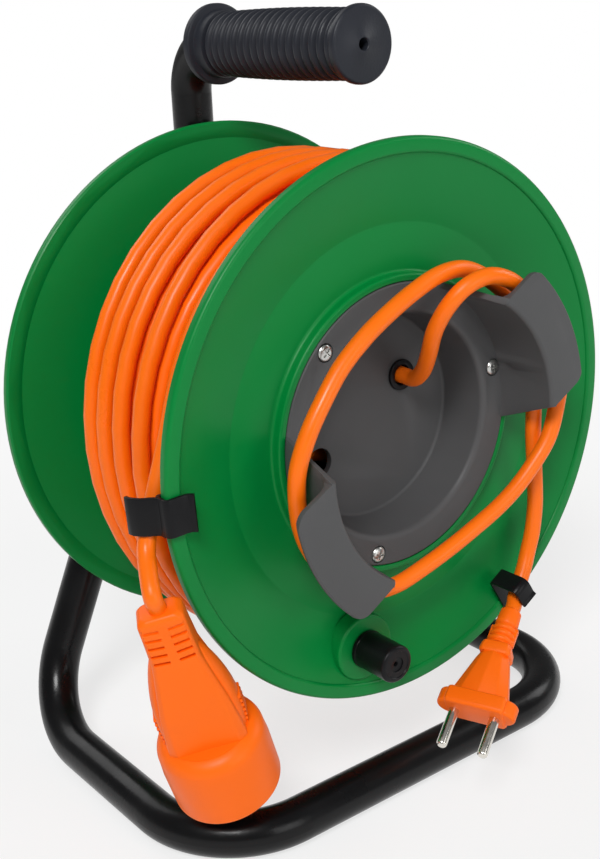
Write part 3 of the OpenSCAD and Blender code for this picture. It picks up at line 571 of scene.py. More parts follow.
# Each slot's finish: its name, its colour or that colour's setting, its roughness and the rest
FINISHES = {
    "green_plastic": ("Green moulding", "flange", 0.36, dict(
        tint=0.05, grain=0.35, grain_scale=1400, grain_depth=0.00004, polish=0.05, specular=0.2,
        marks=0.06)),
    "orange_sheath": ("Orange sheath", "cord", 0.36, dict(
        tint=0.05, tint_scale=30, grain=0.3, grain_scale=700, grain_depth=0.00008, polish=0.09,
        polish_scale=60, specular=0.28)),
    "orange_plastic": ("Orange moulding", "cord_end", 0.42, dict(
        tint=0.04, tint_scale=40, grain=0.4, grain_scale=1600, polish=0.06, polish_scale=80, specular=0.22)),
    "grey_plastic": ("Grey moulding", "insert", 0.5, dict(
        tint=0.07, tint_scale=22, grain=0.5, grain_scale=1500, grain_depth=0.00007, polish=0.07,
        specular=0.25)),
    "black_coated_steel": ("Black powder coat", "stand", 0.3, dict(
        tint=0.25, tint_scale=50, grain=0.55, grain_scale=420, grain_depth=0.00012, polish=0.07,
        coat=0.1, coat_roughness=0.14, specular=0.2)),
    "grip_rubber": ("Grip rubber", "grip", 0.46, dict(
        tint=0.14, tint_scale=45, grain=0.6, grain_scale=1100, grain_depth=0.00009, specular=0.25)),
    "black_plastic": ("Black moulding", (0.006, 0.006, 0.007), 0.34, dict(
        tint=0.2, tint_scale=60, grain=0.4, grain_scale=1300, grain_depth=0.00006, polish=0.07,
        specular=0.16)),
    "zinc_steel": ("Zinc plate", (0.62, 0.62, 0.6), 0.3, dict(
        metallic=1.0, tint=0.16, tint_scale=160, grain=0.4, grain_scale=500, polish=0.12, polish_scale=260)),
    "nickel_brass": ("Nickel plate", (0.76, 0.73, 0.67), 0.2, dict(
        metallic=1.0, tint_scale=200, grain=0.3, grain_depth=0.00003, polish=0.07, polish_scale=300)),
    "contact_brass": ("Contact brass", (0.72, 0.52, 0.2), 0.28, dict(
        metallic=1.0, tint=0.12, tint_scale=240, grain=0.3, grain_scale=700, grain_depth=0.00004)),
    "white_nylon": ("White nylon", (0.7, 0.69, 0.64), 0.45, dict(
        tint=0.05, tint_scale=90, grain=0.3, grain_scale=1000, grain_depth=0.00004)),
}


def surface(name, colour, roughness, *, metallic=0.0, tint=0.08, tint_scale=14.0, grain=0.1,
            grain_scale=900.0, grain_depth=0.00005, polish=0.08, polish_scale=35.0,
            coat=0.0, coat_roughness=0.1, specular=0.5, marks=0.0):
    """A finish with cloudy tint, uneven polish, a fine grain and light handling marks."""
    made = bpy.data.materials.new(name)
    made.use_nodes = True
    tree = Tree(made.node_tree)
    here = tree.add("ShaderNodeTexCoord").outputs["Object"]

    def noise(scale, detail, where=here):
        return tree.add("ShaderNodeTexNoise", {"Vector": where, "Scale": scale, "Detail": detail})

    dark = [c * (1 - tint) for c in colour] + [1]
    light = [min(1, c * (1 + tint)) for c in colour] + [1]
    cloud = tree.add("ShaderNodeMix", {0: noise(tint_scale, 4.0), 6: dark, 7: light}, data_type="RGBA")
    rough = tree.add("ShaderNodeMapRange", {
        0: noise(polish_scale, 5.0), 1: 0.3, 2: 0.7, 3: max(0.02, roughness - polish), 4: roughness + polish,
    })
    if marks:
        streak_map = tree.add("ShaderNodeMapping", {"Vector": here, "Scale": (60, 60, 700)})
        streak = noise(1.0, 2.0, streak_map)
        mask = tree.add("ShaderNodeMapRange", {0: streak, 1: 0.62, 2: 0.72, 3: 0.0, 4: marks})
        rough = tree.add("ShaderNodeMath", {0: rough, 1: mask}, operation="ADD")
    bump = tree.add("ShaderNodeBump", {
        "Height": noise(grain_scale, 2.0), "Strength": grain, "Distance": grain_depth,
    })
    shader = tree.add("ShaderNodeBsdfPrincipled", {
        "Base Color": cloud.outputs[2], "Roughness": rough, "Normal": bump, "Metallic": metallic,
        "Coat Weight": coat, "Coat Roughness": coat_roughness, "Specular IOR Level": specular,
    })
    tree.add("ShaderNodeOutputMaterial", {"Surface": shader})
    return made


def finish(slot):
    """The finish of a slot, made once, in the panel's colour where it has one."""
    name, colour, roughness, rest = FINISHES[slot]
    if isinstance(colour, str):
        colour = getattr(bpy.context.scene.reel_colours, colour)
    return bpy.data.materials.get(name) or surface(name, colour, roughness, **rest)


# ---- Cords ----

def smoothed(points, steps):
    """A Catmull-Rom curve through every point."""
    ends = [points[0] * 2 - points[1]] + points + [points[-1] * 2 - points[-2]]
    curve = []
    for i in range(1, len(ends) - 2):
        p, q, r, s = ends[i - 1:i + 3]
        for k in range(steps):
            t = k / steps
            curve.append(0.5 * (
                q * 2 + (r - p) * t + (p * 2 - q * 5 + r * 4 - s) * t * t
                + (q * 3 - p - r * 3 + s) * t * t * t
            ))
    curve.append(ends[-2])
    return curve


def facing(turn):
    """Where a piece's own height points after its turn."""
    height = Vector((0, 0, 1))
    height.rotate(Euler([math.radians(a) for a in turn], "XYZ"))
    return height


def lay_side(u):
    """How far along the axle the cord lies after u turns of its close layer."""
    low_turns, high_turns = DEEP_TURNS
    low_rear, high_rear = DEEP_REARS
    if u < -high_turns:
        run = (u + sum(DEEP_TURNS)) / low_turns
        return -DEEP_FRONT + (DEEP_FRONT + low_rear) * run
    if u < 0:
        return high_rear - (high_rear + CLOSE_FRONT) * (u + high_turns) / high_turns
    if u < CLOSE_TURNS + CLIMB_TURNS:
        return -CLOSE_FRONT + (CLOSE_FRONT + PILE_REAR) * u / (CLOSE_TURNS + CLIMB_TURNS)
    run = (u - CLOSE_TURNS - CLIMB_TURNS) / LOOSE_TURNS
    return PILE_REAR - (PILE_REAR + LOOSE_END) * run


def climb(u, top, low, high):
    """A smooth rise that ends at u = top and takes half a turn."""
    t = min(1, max(0, (u - top + CLIMB_TURNS) / CLIMB_TURNS))
    return low + (high - low) * (1 - math.cos(math.pi * t)) / 2


def lay_radius(u):
    """How far from the axle the cord lies after u turns of its close layer."""
    first = DRUM_R + 0.35 + CORD_D / 2
    second = first + CORD_D + 0.1
    if u < -DEEP_TURNS[1]:
        return climb(u, -DEEP_TURNS[1], first, second)
    if u < 0:
        return climb(u, 0, second, CLOSE_R)
    return climb(u, CLOSE_TURNS + CLIMB_TURNS, CLOSE_R, LOOSE_R)


def sway(side, direction):
    """How far the turns lean to the rear, most at the rear of the pile."""
    share = FRONT_SWAY + (1 - FRONT_SWAY) * (side + CLOSE_FRONT) / (CLOSE_FRONT + PILE_REAR)
    return TURN_SWAY * share * math.cos(math.radians(direction - SWAY_DIR))


def wander(u):
    """How the loose turns stray to the side, less towards both ends of the layer."""
    start = CLOSE_TURNS + CLIMB_TURNS
    if u < start:
        return 0.0
    run = (u - start) / LOOSE_TURNS
    room = math.sin(math.pi * min(1, max(0, run))) ** 0.6
    turn = 2 * math.pi * u
    return room * (2.0 * math.sin(0.83 * turn + 1.1) + 1.0 * math.sin(2.31 * turn + 0.4))


def winding_line(steps):
    """The whole winding from the drum's wall out to its end, in metres."""
    first = WOUND_END_DIR - 360 * TOTAL_TURNS
    points = []
    start = -sum(DEEP_TURNS)
    count = round((TOTAL_TURNS - start) * steps)
    for i in range(count + 1):
        u = start + i / steps
        direction = first + 360 * u
        side = lay_side(u) + wander(u)
        side += sway(lay_side(u), direction)
        x, z = polar(lay_radius(u), direction)
        points.append(from_middle((x, side, z)))
    return points


# ---- Settings ----

def colour_setting(name, description, default):
    """A colour that the panel shows."""
    return FloatVectorProperty(
        name=name, description=description, default=default, subtype="COLOR", size=3, min=0, max=1
    )


class ReelColours(bpy.types.PropertyGroup):
    """The reel's colours."""

    flange: colour_setting("Flanges", "Colour of both flanges and the drum", (0.0, 0.2, 0.036))
    cord: colour_setting("Cord", "Colour of the cord's sheath", (1.0, 0.165, 0.003))
    cord_end: colour_setting("Plug and socket", "Colour of the plug and the socket", (1.0, 0.15, 0.003))
    insert: colour_setting("Hub insert", "Colour of the cup and its wings", (0.078, 0.078, 0.08))
    stand: colour_setting("Stand", "Colour of the coated tube", (0.003, 0.003, 0.0035))
    grip: colour_setting("Grip", "Colour of the soft grip", (0.017, 0.019, 0.026))
    floor: colour_setting("Floor", "Colour of the floor", (0.86, 0.86, 0.86))


class ReelDetail(bpy.types.PropertyGroup):
    """How finely the reel is modelled."""

    cord_sides: IntProperty(name="Cord sides", description="Sides of the wound cord", default=12, min=6)
    turn_steps: IntProperty(name="Steps in a turn", description="Points in each turn of cord",
                            default=48, min=24)
    moulded_radius: FloatProperty(name="Moulded radius", description="Radius of small moulded edges",
                                  default=0.4 * MM, min=0.0, unit="LENGTH")
    grip_ribs: IntProperty(name="Grip ribs", description="Number of ribs on the grip", default=18, min=4)
    full_light: BoolProperty(name="All lamps", description="Use the fill and rim lamps too", default=True)


# ---- Operators ----

class ReelOperator(bpy.types.Operator):
    """Base of the operators that make the reel's pieces."""

    bl_options = {"REGISTER", "UNDO"}

    def execute(self, context):
        self.make(context.scene.reel_detail)
        return {"FINISHED"}


class REEL_OT_camera(ReelOperator):
    """Sets the camera where the reel is seen from the front left, a little above"""

    bl_idname = "reel.camera"
    bl_label = "Camera"

    def make(self, detail):
        data = bpy.data.cameras.new("Camera")
        data.sensor_width = 36
        data.lens = CAMERA_LENS
        data.clip_start = 0.01
        camera = bpy.data.objects.new("Camera", data)
        place = Matrix([Vector(axis) for axis in CAMERA_AXES]).transposed().to_4x4()
        place.translation = CAMERA_PLACE
        camera.matrix_world = place
        bpy.context.scene.collection.objects.link(camera)
        bpy.context.scene.camera = camera


class REEL_OT_winding(ReelOperator):
    """Winds the cord on the drum in two deep layers, a close layer and loose turns"""

    bl_idname = "reel.winding"
    bl_label = "Wound cord"

    def make(self, detail):
        line = winding_line(detail.turn_steps)
        piece = cord_along("winding", line, CORD_D, detail.cord_sides)
        hand_over(piece, "drum", "orange_sheath", "wound_core", "wound_cord")


class REEL_OT_inner_lead(ReelOperator):
    """Runs the cord's inner end from the drum wall to the hole in the cup"""

    bl_idname = "reel.inner_lead"
    bl_label = "Inner lead"

    def make(self, detail):
        hole = (LEAD_HOLE[0], (COLLAR_LOW.y - MIDDLE.y) / MM + 1, LEAD_HOLE[1])
        points = [from_middle(p) for p in INNER_ROUTE + [hole, LEAD_ROUTE[0]]]
        piece = cord_along("lead_in_hub", smoothed(points, CURVE_STEPS), CORD_D)
        hand_over(piece, "drum", "orange_sheath", "inner_lead")


class REEL_OT_plug_end(ReelOperator):
    """Makes the lead round both wings, its strain relief, plug and pins"""

    bl_idname = "reel.plug_end"
    bl_label = "Plug end"

    def make(self, detail):
        top = Vector(PLUG_TOP)
        ends = [top - 4 * facing(PLUG_TURN), top]
        points = [from_middle(p) for p in LEAD_ROUTE + ends]
        line = smoothed(points, CURVE_STEPS)
        lead = cord_along("plug_lead_sheath", line, CORD_D, LEAD_SIDES)
        hand_over(lead, "drum", "orange_sheath", "plug_lead")
        relief, body, pins = self.relief(), self.body(), self.pins()

    def relief(self):
        """A smooth collar, three notched rings and a foot that runs into the neck."""
        outline = [(0, 0.2), (4.3, 0.2), (5.0, 0.9), (5.5, 8.2), (5.1, 9.0)]
        for i in range(3):
            z = 9.6 + 3.2 * i
            wider = 0.25 * i
            ring = [(4.5, 0), (4.5, 0.7), (5.7, 1.1), (5.9, 1.6), (5.9, 2.2), (5.6, 2.7)]
            outline += [(r + wider, z + up) for r, up in ring]
        outline += [(5.3, 19.2), (5.3, PLUG_RELIEF_L - 0.1), (0, PLUG_RELIEF_L - 0.1)]
        piece = lathe("plug_relief_sleeve", outline, PLUG_PLACE, 64)
        bars = [box_at((side * 5.0, 0, 14.4), (3.0, 2.6, 9.6), PLUG_PLACE) for side in (-1, 1)]
        ties = piece_from("plug_relief_ties", blocks("plug_relief_ties", bars))
        soften(ties, 0.4)
        whole = joined("plug_relief_sleeve", [piece, ties])
        return hand_over(whole, "drum", "orange_plastic", "plug_relief")

    def body(self):
        """The neck block, the ridged tapering middle and the base with its two lobes."""
        base = PLUG_RELIEF_L
        face = base + PLUG_L
        parts = [
            tapered("plug_neck", PLUG_PLACE, base, [
                (6.0, 5.4, 0.1, 1.4, 1.4), (7.0, 6.2, 1.2, 1.6, 1.6),
                (7.5, 6.3, 5.0, 1.6, 1.6), (6.9, 5.9, 6.4, 1.5, 1.5),
            ]),
            tapered("plug_middle", PLUG_PLACE, base, [
                (6.6, 5.0, 5.2, 2.4, 3.2, 0.9), (8.2, 5.3, 9.5, 3.2, 3.3, 1.2),
                (13.6, 6.2, PLUG_L - 7.8, 5.0, 3.4, 1.3),
            ]),
            tapered("plug_plate", PLUG_PLACE, face, [
                (13.2, 6.9, -8.6, 1.0, 1.0), (13.9, 7.9, -7.6, 1.0, 1.0),
                (14.0, 8.0, -1.4, 1.0, 1.0), (13.3, 7.2, 0, 1.0, 1.0),
            ]),
        ]
        parts += [self.lobe(side, face) for side in (-1, 1)]
        for part in parts:
            soften(part, 0.45, angle=20)
        whole = joined("plug_moulding", parts)
        return hand_over(whole, "drum", "orange_plastic", "plug_body")

    def lobe(self, side, face):
        """One finger lobe with chamfered ends."""
        tip = 5.6
        outer = PLUG_W / 2 - tip
        outline = [(outer - 8, -tip)] + arc(outer, 0, tip, -90, 90, 20) + [(outer - 8, tip)]
        sections = []
        for height, inset in ((face - 8.5, 0.9), (face - 7.7, 0.0), (face - 1.7, 0.0), (face - 0.8, 0.9)):
            section = []
            for x, y in outline:
                away = math.hypot(x - outer, y) if x > outer else abs(y)
                shrink = 1 - inset / max(away, 1)
                px = outer + (x - outer) * shrink if x > outer else x
                section.append((side * px, y * shrink, height))
            sections.append(section)
        return loft(f"plug_lobe_{side}", sections, PLUG_PLACE)

    def pins(self):
        """Two nickel pins with rounded tips."""
        template = lathe("pin", [(0, -9.8), (1.9, -9.8), (1.9, 0.0), (2.4, 0.02), (2.4, 17.6),
                                 (2.2, 18.3), (1.8, 18.8), (1.3, 19.0), (0, 19.0)],
                         Matrix.Identity(4), 40)
        face = PLUG_RELIEF_L + PLUG_L
        places = [PLUG_PLACE @ Matrix.Translation((side * PIN_PITCH / 2, 0, face)) for side in (-1, 1)]
        piece = copies_of("plug_pin_pair", template, places)
        return hand_over(piece, "drum", "nickel_brass", "plug_pins")


class REEL_OT_socket_end(ReelOperator):
    """Makes the lead that leaves the winding, and the socket on it"""

    bl_idname = "reel.socket_end"
    bl_label = "Socket end"

    def make(self, detail):
        side = -LOOSE_END - FRONT_SWAY * TURN_SWAY - CORD_D - 2.3
        lay = []
        for direction in range(WOUND_END_DIR, LEAVE_DIR + 1, 10):
            x, z = polar(LOOSE_R, direction)
            lay.append((x, side, z))
        top = Vector(SOCKET_TOP)
        neck = top - 8 * facing(SOCKET_TURN)
        points = [from_middle(p) for p in lay + SOCKET_ROUTE + [neck, top]]
        line = smoothed(points, CURVE_STEPS)
        lead = cord_along("socket_lead_sheath", line, CORD_D, LEAD_SIDES)
        hand_over(lead, "stand", "orange_sheath", "socket_lead")
        body = self.body()
        face = softened_copy("socket_face", "stand", "grey_plastic", 0.35)
        contacts = softened_copy("socket_contacts", "stand", "contact_brass", 0.15)

    def body(self):
        """The slotted neck, the shield-shaped middle, the side wings and the skirt."""
        parts = [self.middle(), self.skirt(), self.wing(-1), self.wing(1)]
        whole = joined("socket_moulding", parts)
        return hand_over(whole, "stand", "orange_plastic", "socket_body")

    def middle(self):
        """The neck with its slots, widening to the shield that runs into the skirt."""
        top = SOCKET_L - SKIRT_L
        piece = tapered("socket_middle", SOCKET_PLACE, 0, [
            (7.6, 5.2, 0.0, 2.0, 2.0), (9.2, 6.4, 1.6, 1.8, 1.8), (9.5, 6.6, 3.0, 1.6, 1.6),
            (9.6, 7.2, 12.0, 1.5, 1.5), (10.0, 7.9, 23.0, 1.5, 1.5), (10.8, 8.6, 28.0, 1.7, 1.5),
            (14.6, 11.0, 48.0, 2.4, 1.7), (16.4, 12.6, top - 6.0, 3.0, 2.0),
            (16.8, 13.0, top + 6.0, 4.0, 3.0), (16.8, 12.8, top + 11.0, 5.0, 4.0),
        ])
        soften(piece, 0.7, segments=3, angle=18)
        slots = []
        for face_side in (-1, 1):
            for side in (-1, 1):
                for i in range(5):
                    centre = (side * 5.2, face_side * 7.9, 5.2 + 4.0 * i)
                    slots.append(box_at(centre, (6.6, 3.6, 1.5), SOCKET_PLACE, side * 6))
        return cut(piece, blocks("slots", slots))

    def skirt(self):
        """The round skirt: soft shoulders, a deep mouth and a rolled edge."""
        top = SOCKET_L - SKIRT_L
        face_back = SOCKET_L - SOCKET_RECESS - 22
        outline = [(0, top - 1.5), (SKIRT_R - 12, top - 1.2)]
        outline += arc(SKIRT_R - 8, top + 6.4, 7.4, -75, -8, 12)
        outline += [(SKIRT_R - 0.5, top + 9), (SKIRT_R - 0.15, top + 14), (SKIRT_R - 0.3, SOCKET_L - 2.2)]
        outline += arc(SKIRT_R - 1.9, SOCKET_L - 1.6, 1.6, 0, 90, 6)
        outline += arc(SKIRT_R - 3.2, SOCKET_L - 0.8, 0.8, 90, 180, 4)
        seat = SKIRT_R - 5.9
        outline += [(SKIRT_R - 4, SOCKET_L - SOCKET_RECESS), (seat, SOCKET_L - SOCKET_RECESS),
                    (seat, face_back - 0.1), (0, face_back - 0.1)]
        return lathe("socket_skirt", outline, SOCKET_PLACE, 128)

    def bulge(self, t):
        """How far a side wing reaches at a share of its height."""
        return 9.0 + 9.2 * math.sin(math.pi * min(1, t * 0.72)) ** 0.8

    def wing(self, side):
        """A bulging side wing with fine ribs where a finger pulls."""
        top = SOCKET_L - SKIRT_L
        sections = []
        for i in range(15):
            t = i / 14
            z = 20 + (top - 14) * t
            reach = self.bulge(t)
            thick = 3.0 + 4.4 * math.sin(math.pi * min(1, t * 0.62)) ** 0.8
            section = []
            for k in range(12):
                x, y = polar(1, -90 + 180 * k / 11)
                section.append((side * (reach - 3 + 3 * x), y * thick, z))
            section += [(side * 4, thick * 0.9, z), (side * 4, -thick * 0.9, z)]
            sections.append(section)
        body = loft(f"socket_wing_{side}", sections, SOCKET_PLACE)
        ribs = []
        for i in range(6):
            z = top - 16 + 2.6 * i
            t = (z - 20) / (top - 14)
            ribs.append(box_at((side * (self.bulge(t) - 0.3), 0, z), (1.6, 8.5, 1.2), SOCKET_PLACE))
        bumps = piece_from(f"socket_ribs_{side}", blocks("ribs", ribs))
        soften(bumps, 0.35)
        return joined(f"socket_wing_{side}", [body, bumps])


class REEL_OT_flanges(ReelOperator):
    """Makes both flanges with rounded rims, and finishes the drum between them"""

    bl_idname = "reel.flanges"
    bl_label = "Flanges and drum"

    def make(self, detail):
        hand_over(self.front(), "drum", "green_plastic", "front_flange")
        for node, width in (("rear_flange", 0.35), ("drum_shell", 0.3), ("drum_partition", 0.3)):
            softened_copy(node, "drum", "green_plastic", width)

    def section(self, inner_r, pocket_floor):
        """Half section of a flange: rim lip, cone, flat web, hub ring and insert pocket."""
        rim_back = RIM_FACE - RIM_T
        rim_web = RIM_FACE - RIM_STEP
        rim_in = FLANGE_R - RIM_W
        web_back = WEB_FACE - WEB_T
        outline = [(inner_r, web_back), (CONE_FOOT_R - 3, web_back)]
        outline += [(CONE_FOOT_R, web_back + 0.15), (rim_in - 1, rim_web - WEB_T), (rim_in + 1, rim_back)]
        outline += arc(FLANGE_R - 0.9, rim_back + 0.9, 0.9, -90, 0, 4)
        outline += arc(FLANGE_R - 1.9, RIM_FACE - 1.9, 1.9, 0, 90, 8)
        outline += arc(rim_in + 1.6, RIM_FACE - 1.6, 1.6, 90, 172, 8)
        outline += [(rim_in - 0.4, rim_web - 0.1), (rim_in - 2.2, rim_web - 0.7)]
        outline += arc(CONE_FOOT_R + 2.6, WEB_FACE + 4.4, 4.4, 286, 270, 4)
        outline += arc(HUB_RING_R + 1.6, WEB_FACE + 1.6, 1.6, 270, 182, 6)
        outline += arc(HUB_RING_R - 1.3, RING_FACE - 1.3, 1.3, 0, 90, 6)
        outline += arc(POCKET_R + 0.5, RING_FACE - 0.5, 0.5, 90, 180, 3)
        outline += [(POCKET_R, pocket_floor), (inner_r, pocket_floor)]
        return outline

    def front(self):
        """The front flange with the boss that carries the crank knob."""
        outline = self.section(HUB_OPENING_R, INSERT_FACE - 3.1)
        spigot = [(78.2, WEB_FACE - WEB_T - 6), (81.7, WEB_FACE - WEB_T - 6),
                  (81.7, WEB_FACE - 1), (78.2, WEB_FACE - 1)]
        parts = [
            lathe("flange_disc", outline, AXLE_FRONT, 240, 40),
            lathe("flange_spigot", spigot, AXLE_FRONT, 120),
            self.boss(),
        ]
        return joined("front_flange_moulding", parts)

    def boss(self):
        """The knob's boss, which runs out into the cone round it."""
        foot = WEB_FACE + 1.5
        hole = KNOB_BORE_R
        outline = [(hole, foot + 2)]
        outline += [(hole, KNOB_BOSS_FACE - 0.3), (hole + 0.3, KNOB_BOSS_FACE)]
        outline += arc(KNOB_BOSS_R - 1.4, KNOB_BOSS_FACE - 1.4, 1.4, 90, 0, 8)
        outline += [(KNOB_BOSS_R + 0.1, foot), (hole, foot)]
        place = axle_place(KNOB_REACH, KNOB_DIR, 0)
        return lathe("knob_boss", outline, place, 96)


class REEL_OT_hub(ReelOperator):
    """Finishes the hub insert with its cup, wings, screws and lead collar"""

    bl_idname = "reel.hub"
    bl_label = "Hub insert"

    def make(self, detail):
        radius = detail.moulded_radius / MM
        softened_copy("hub_insert", "drum", "grey_plastic", radius, MIDDLE.y / MM - INSERT_FACE + 0.5)
        softened_copy("lead_collar", "drum", "black_plastic", 0.3)
        front = [axle_place(SCREW_R, d, INSERT_FACE - 1.2) @ Matrix.Rotation(math.radians(d), 4, "Z")
                 for d in SCREW_DIRS]
        rear = [axle_place(SCREW_R, d, WEB_FACE, front=False) for d in SCREW_DIRS]
        hand_over(copies_of("front_screw_set", self.screw(), front), "drum", "zinc_steel", "insert_screws")
        hand_over(copies_of("rear_screw_set", self.screw(), rear), "drum", "zinc_steel", "rear_screws")

    def screw(self):
        """A pan-head screw with a tapered cross recess, its seat at the origin."""
        outline = [(0, -15), (0.6, -14.4), (1.55, -12.5)]
        for i in range(11):
            z = -12.2 + 1.1 * i
            outline += [(1.3, z), (1.68, z + 0.5)]
        outline += [(1.7, -0.1), (1.7, 0.0), (3.72, 0.0), (3.75, 0.5)]
        outline += [(3.55, 1.2), (3.0, 1.75), (2.1, 2.05), (1.0, 2.18), (0, 2.2)]
        piece = lathe("screw", outline, Matrix.Identity(4), 32)
        for turn in (0, 90):
            place = Matrix.Rotation(math.radians(turn), 4, "Z")
            cut(piece, blocks("recess", [box_at((0, 0, 2.0), (4.2, 0.85, 1.7), place)]))
        return piece


class REEL_OT_knob(ReelOperator):
    """Makes the crank knob with its pin's recess, and finishes the pin"""

    bl_idname = "reel.knob"
    bl_label = "Crank knob"

    def make(self, detail):
        back = KNOB_BOSS_FACE + 0.3
        place = axle_place(KNOB_REACH, KNOB_DIR, back)
        outline = [(0, 0), (KNOB_R - 0.5, 0), (KNOB_R, 0.5), (KNOB_R, 2.2), (KNOB_R - 0.2, 2.5),
                   (KNOB_R - 0.2, KNOB_L - 1.8)]
        outline += arc(KNOB_R - 1.8, KNOB_L - 1.6, 1.6, 0, 90, 6)
        outline += [(6.4, KNOB_L), (6.1, KNOB_L - 0.35), (0, KNOB_L - 0.35)]
        shell = lathe("knob_shell", outline, place, 128, 40)
        outline = [(0, -1), (4.05, -1), (4.05, 13.0), (5.5, 13.02), (5.5, 17.6), (1.2, 17.62),
                   (1.2, 19.6), (3.4, 20.0), (3.6, KNOB_L + 1), (0, KNOB_L + 1)]
        bore = lathe("knob_bore", outline, place, 48)
        cut(shell, bore.data.copy())
        discard(bore)
        hand_over(shell, "knob", "black_plastic", "crank_knob")
        softened_copy("knob_pin", "drum", "zinc_steel", 0.2)


class REEL_OT_clips(ReelOperator):
    """Makes the two spring clips that hold the cord ends to the front rim"""

    bl_idname = "reel.clips"
    bl_label = "Cord clips"

    def make(self, detail):
        self.clip("socket_clip", SOCKET_CLIP_DIR, SOCKET_CLIP_W, self.over_the_edge())
        self.clip("plug_clip", PLUG_CLIP_DIR, PLUG_CLIP_W, self.over_the_face())

    def over_the_edge(self):
        """A lip on the rim's face, round its edge, and a finger out over the cord behind it."""
        line = [(114.6, CLIP_FRONT + 2.4), (116.2, CLIP_FRONT + 0.5), (118.6, CLIP_FRONT),
                (122.0, CLIP_FRONT)]
        line += arc(CLIP_OUT - 2, CLIP_FRONT - 2, 2, 90, 0, 5)
        line += [(CLIP_OUT, 66.2), (127.4, 64.3), (131.6, 61.0), (133.8, 57.2), (134.1, 54.4)]
        return line

    def over_the_face(self):
        """Round the rim's edge, in along its face behind the cord, and back out over the cord."""
        fold, top, bend = 102.0, 87.8, 2.5
        line = arc(CLIP_OUT - 2, CLIP_FRONT - 2, 2, 0, 90, 5)
        line += arc(fold + bend, CLIP_FRONT + bend, bend, 270, 180, 6)
        line += arc(fold + bend, top - bend, bend, 180, 90, 6)
        line += [(110.0, top), (112.0, top + 1.2)]
        return line

    def clip(self, node, direction, width, line):
        """A strip along its line of (reach, height) points, with a leg behind the rim."""
        leg = [(118.6, CLIP_BACK), (CLIP_OUT - 2, CLIP_BACK)]
        leg += arc(CLIP_OUT - 2, CLIP_BACK + 2, 2, -90, 0, 5)
        leg += [(CLIP_OUT, CLIP_FRONT - 2.2)]
        parts = [self.strip(f"{node}_{i}", direction, width, points) for i, points in enumerate((line, leg))]
        whole = joined(node + "_spring", parts)
        return hand_over(whole, "drum", "black_plastic", node)

    def strip(self, name, direction, width, line):
        """A flat strip of even thickness along a line, across the clip's width."""
        edge = [[], []]
        for i, (x, y) in enumerate(line):
            before, after = line[max(i - 1, 0)], line[min(i + 1, len(line) - 1)]
            along = Vector((after[0] - before[0], after[1] - before[1])).normalized()
            for side, points in zip((-1, 1), edge):
                points.append((x - side * along.y * CLIP_T / 2, y + side * along.x * CLIP_T / 2))
        outline = edge[0] + edge[1][::-1]
        place = AXLE_FRONT @ Matrix.Rotation(math.radians(direction), 4, "Z")
        sections = [[(x, across, y) for x, y in outline] for across in (-width / 2, width / 2)]
        piece = loft(name, sections, place)
        return soften(piece, 0.35)


class REEL_OT_stand(ReelOperator):
    """Coats the tubes and plate of the stand and lays its weld beads"""

    bl_idname = "reel.stand"
    bl_label = "Stand"

    def make(self, detail):
        for node in ("base_tube", "left_leg", "right_leg", "riser_tube"):
            dress(frame["nodes"][node], "black_coated_steel")
        softened_copy("axle_plate", "stand", "black_coated_steel", 0.6)
        self.welds()

    def welds(self):
        """A rippled bead where the riser meets the axle plate."""
        low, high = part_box("riser_tube")
        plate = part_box("axle_plate")[1]
        beads = []
        steps = 40
        sunk, proud = 0.6 * MM, 1.2 * MM
        for x in (low.x + sunk, high.x - sunk):
            line = []
            for i in range(steps):
                z = low.z + 0.001 + (plate.z - low.z - 0.006) * i / (steps - 1)
                line.append(Vector((x, plate.y + proud, z)))
            beads.append(cord_along("bead", line, BEAD_D, 10))
        hand_over(joined("riser_welds", beads), "stand", "black_coated_steel")


class REEL_OT_axle(ReelOperator):
    """Finishes the axle, its nut, washers and bearing bushes"""

    bl_idname = "reel.axle"
    bl_label = "Axle and bearings"

    def make(self, detail):
        for node, width in (("axle", 0.2), ("axle_washer", 0.25), ("axle_nut", 0.3), ("axle_retainer", 0.2)):
            softened_copy(node, "stand", "zinc_steel", width)
        for node in ("front_bush", "rear_bush"):
            softened_copy(node, "drum", "white_nylon", 0.2)


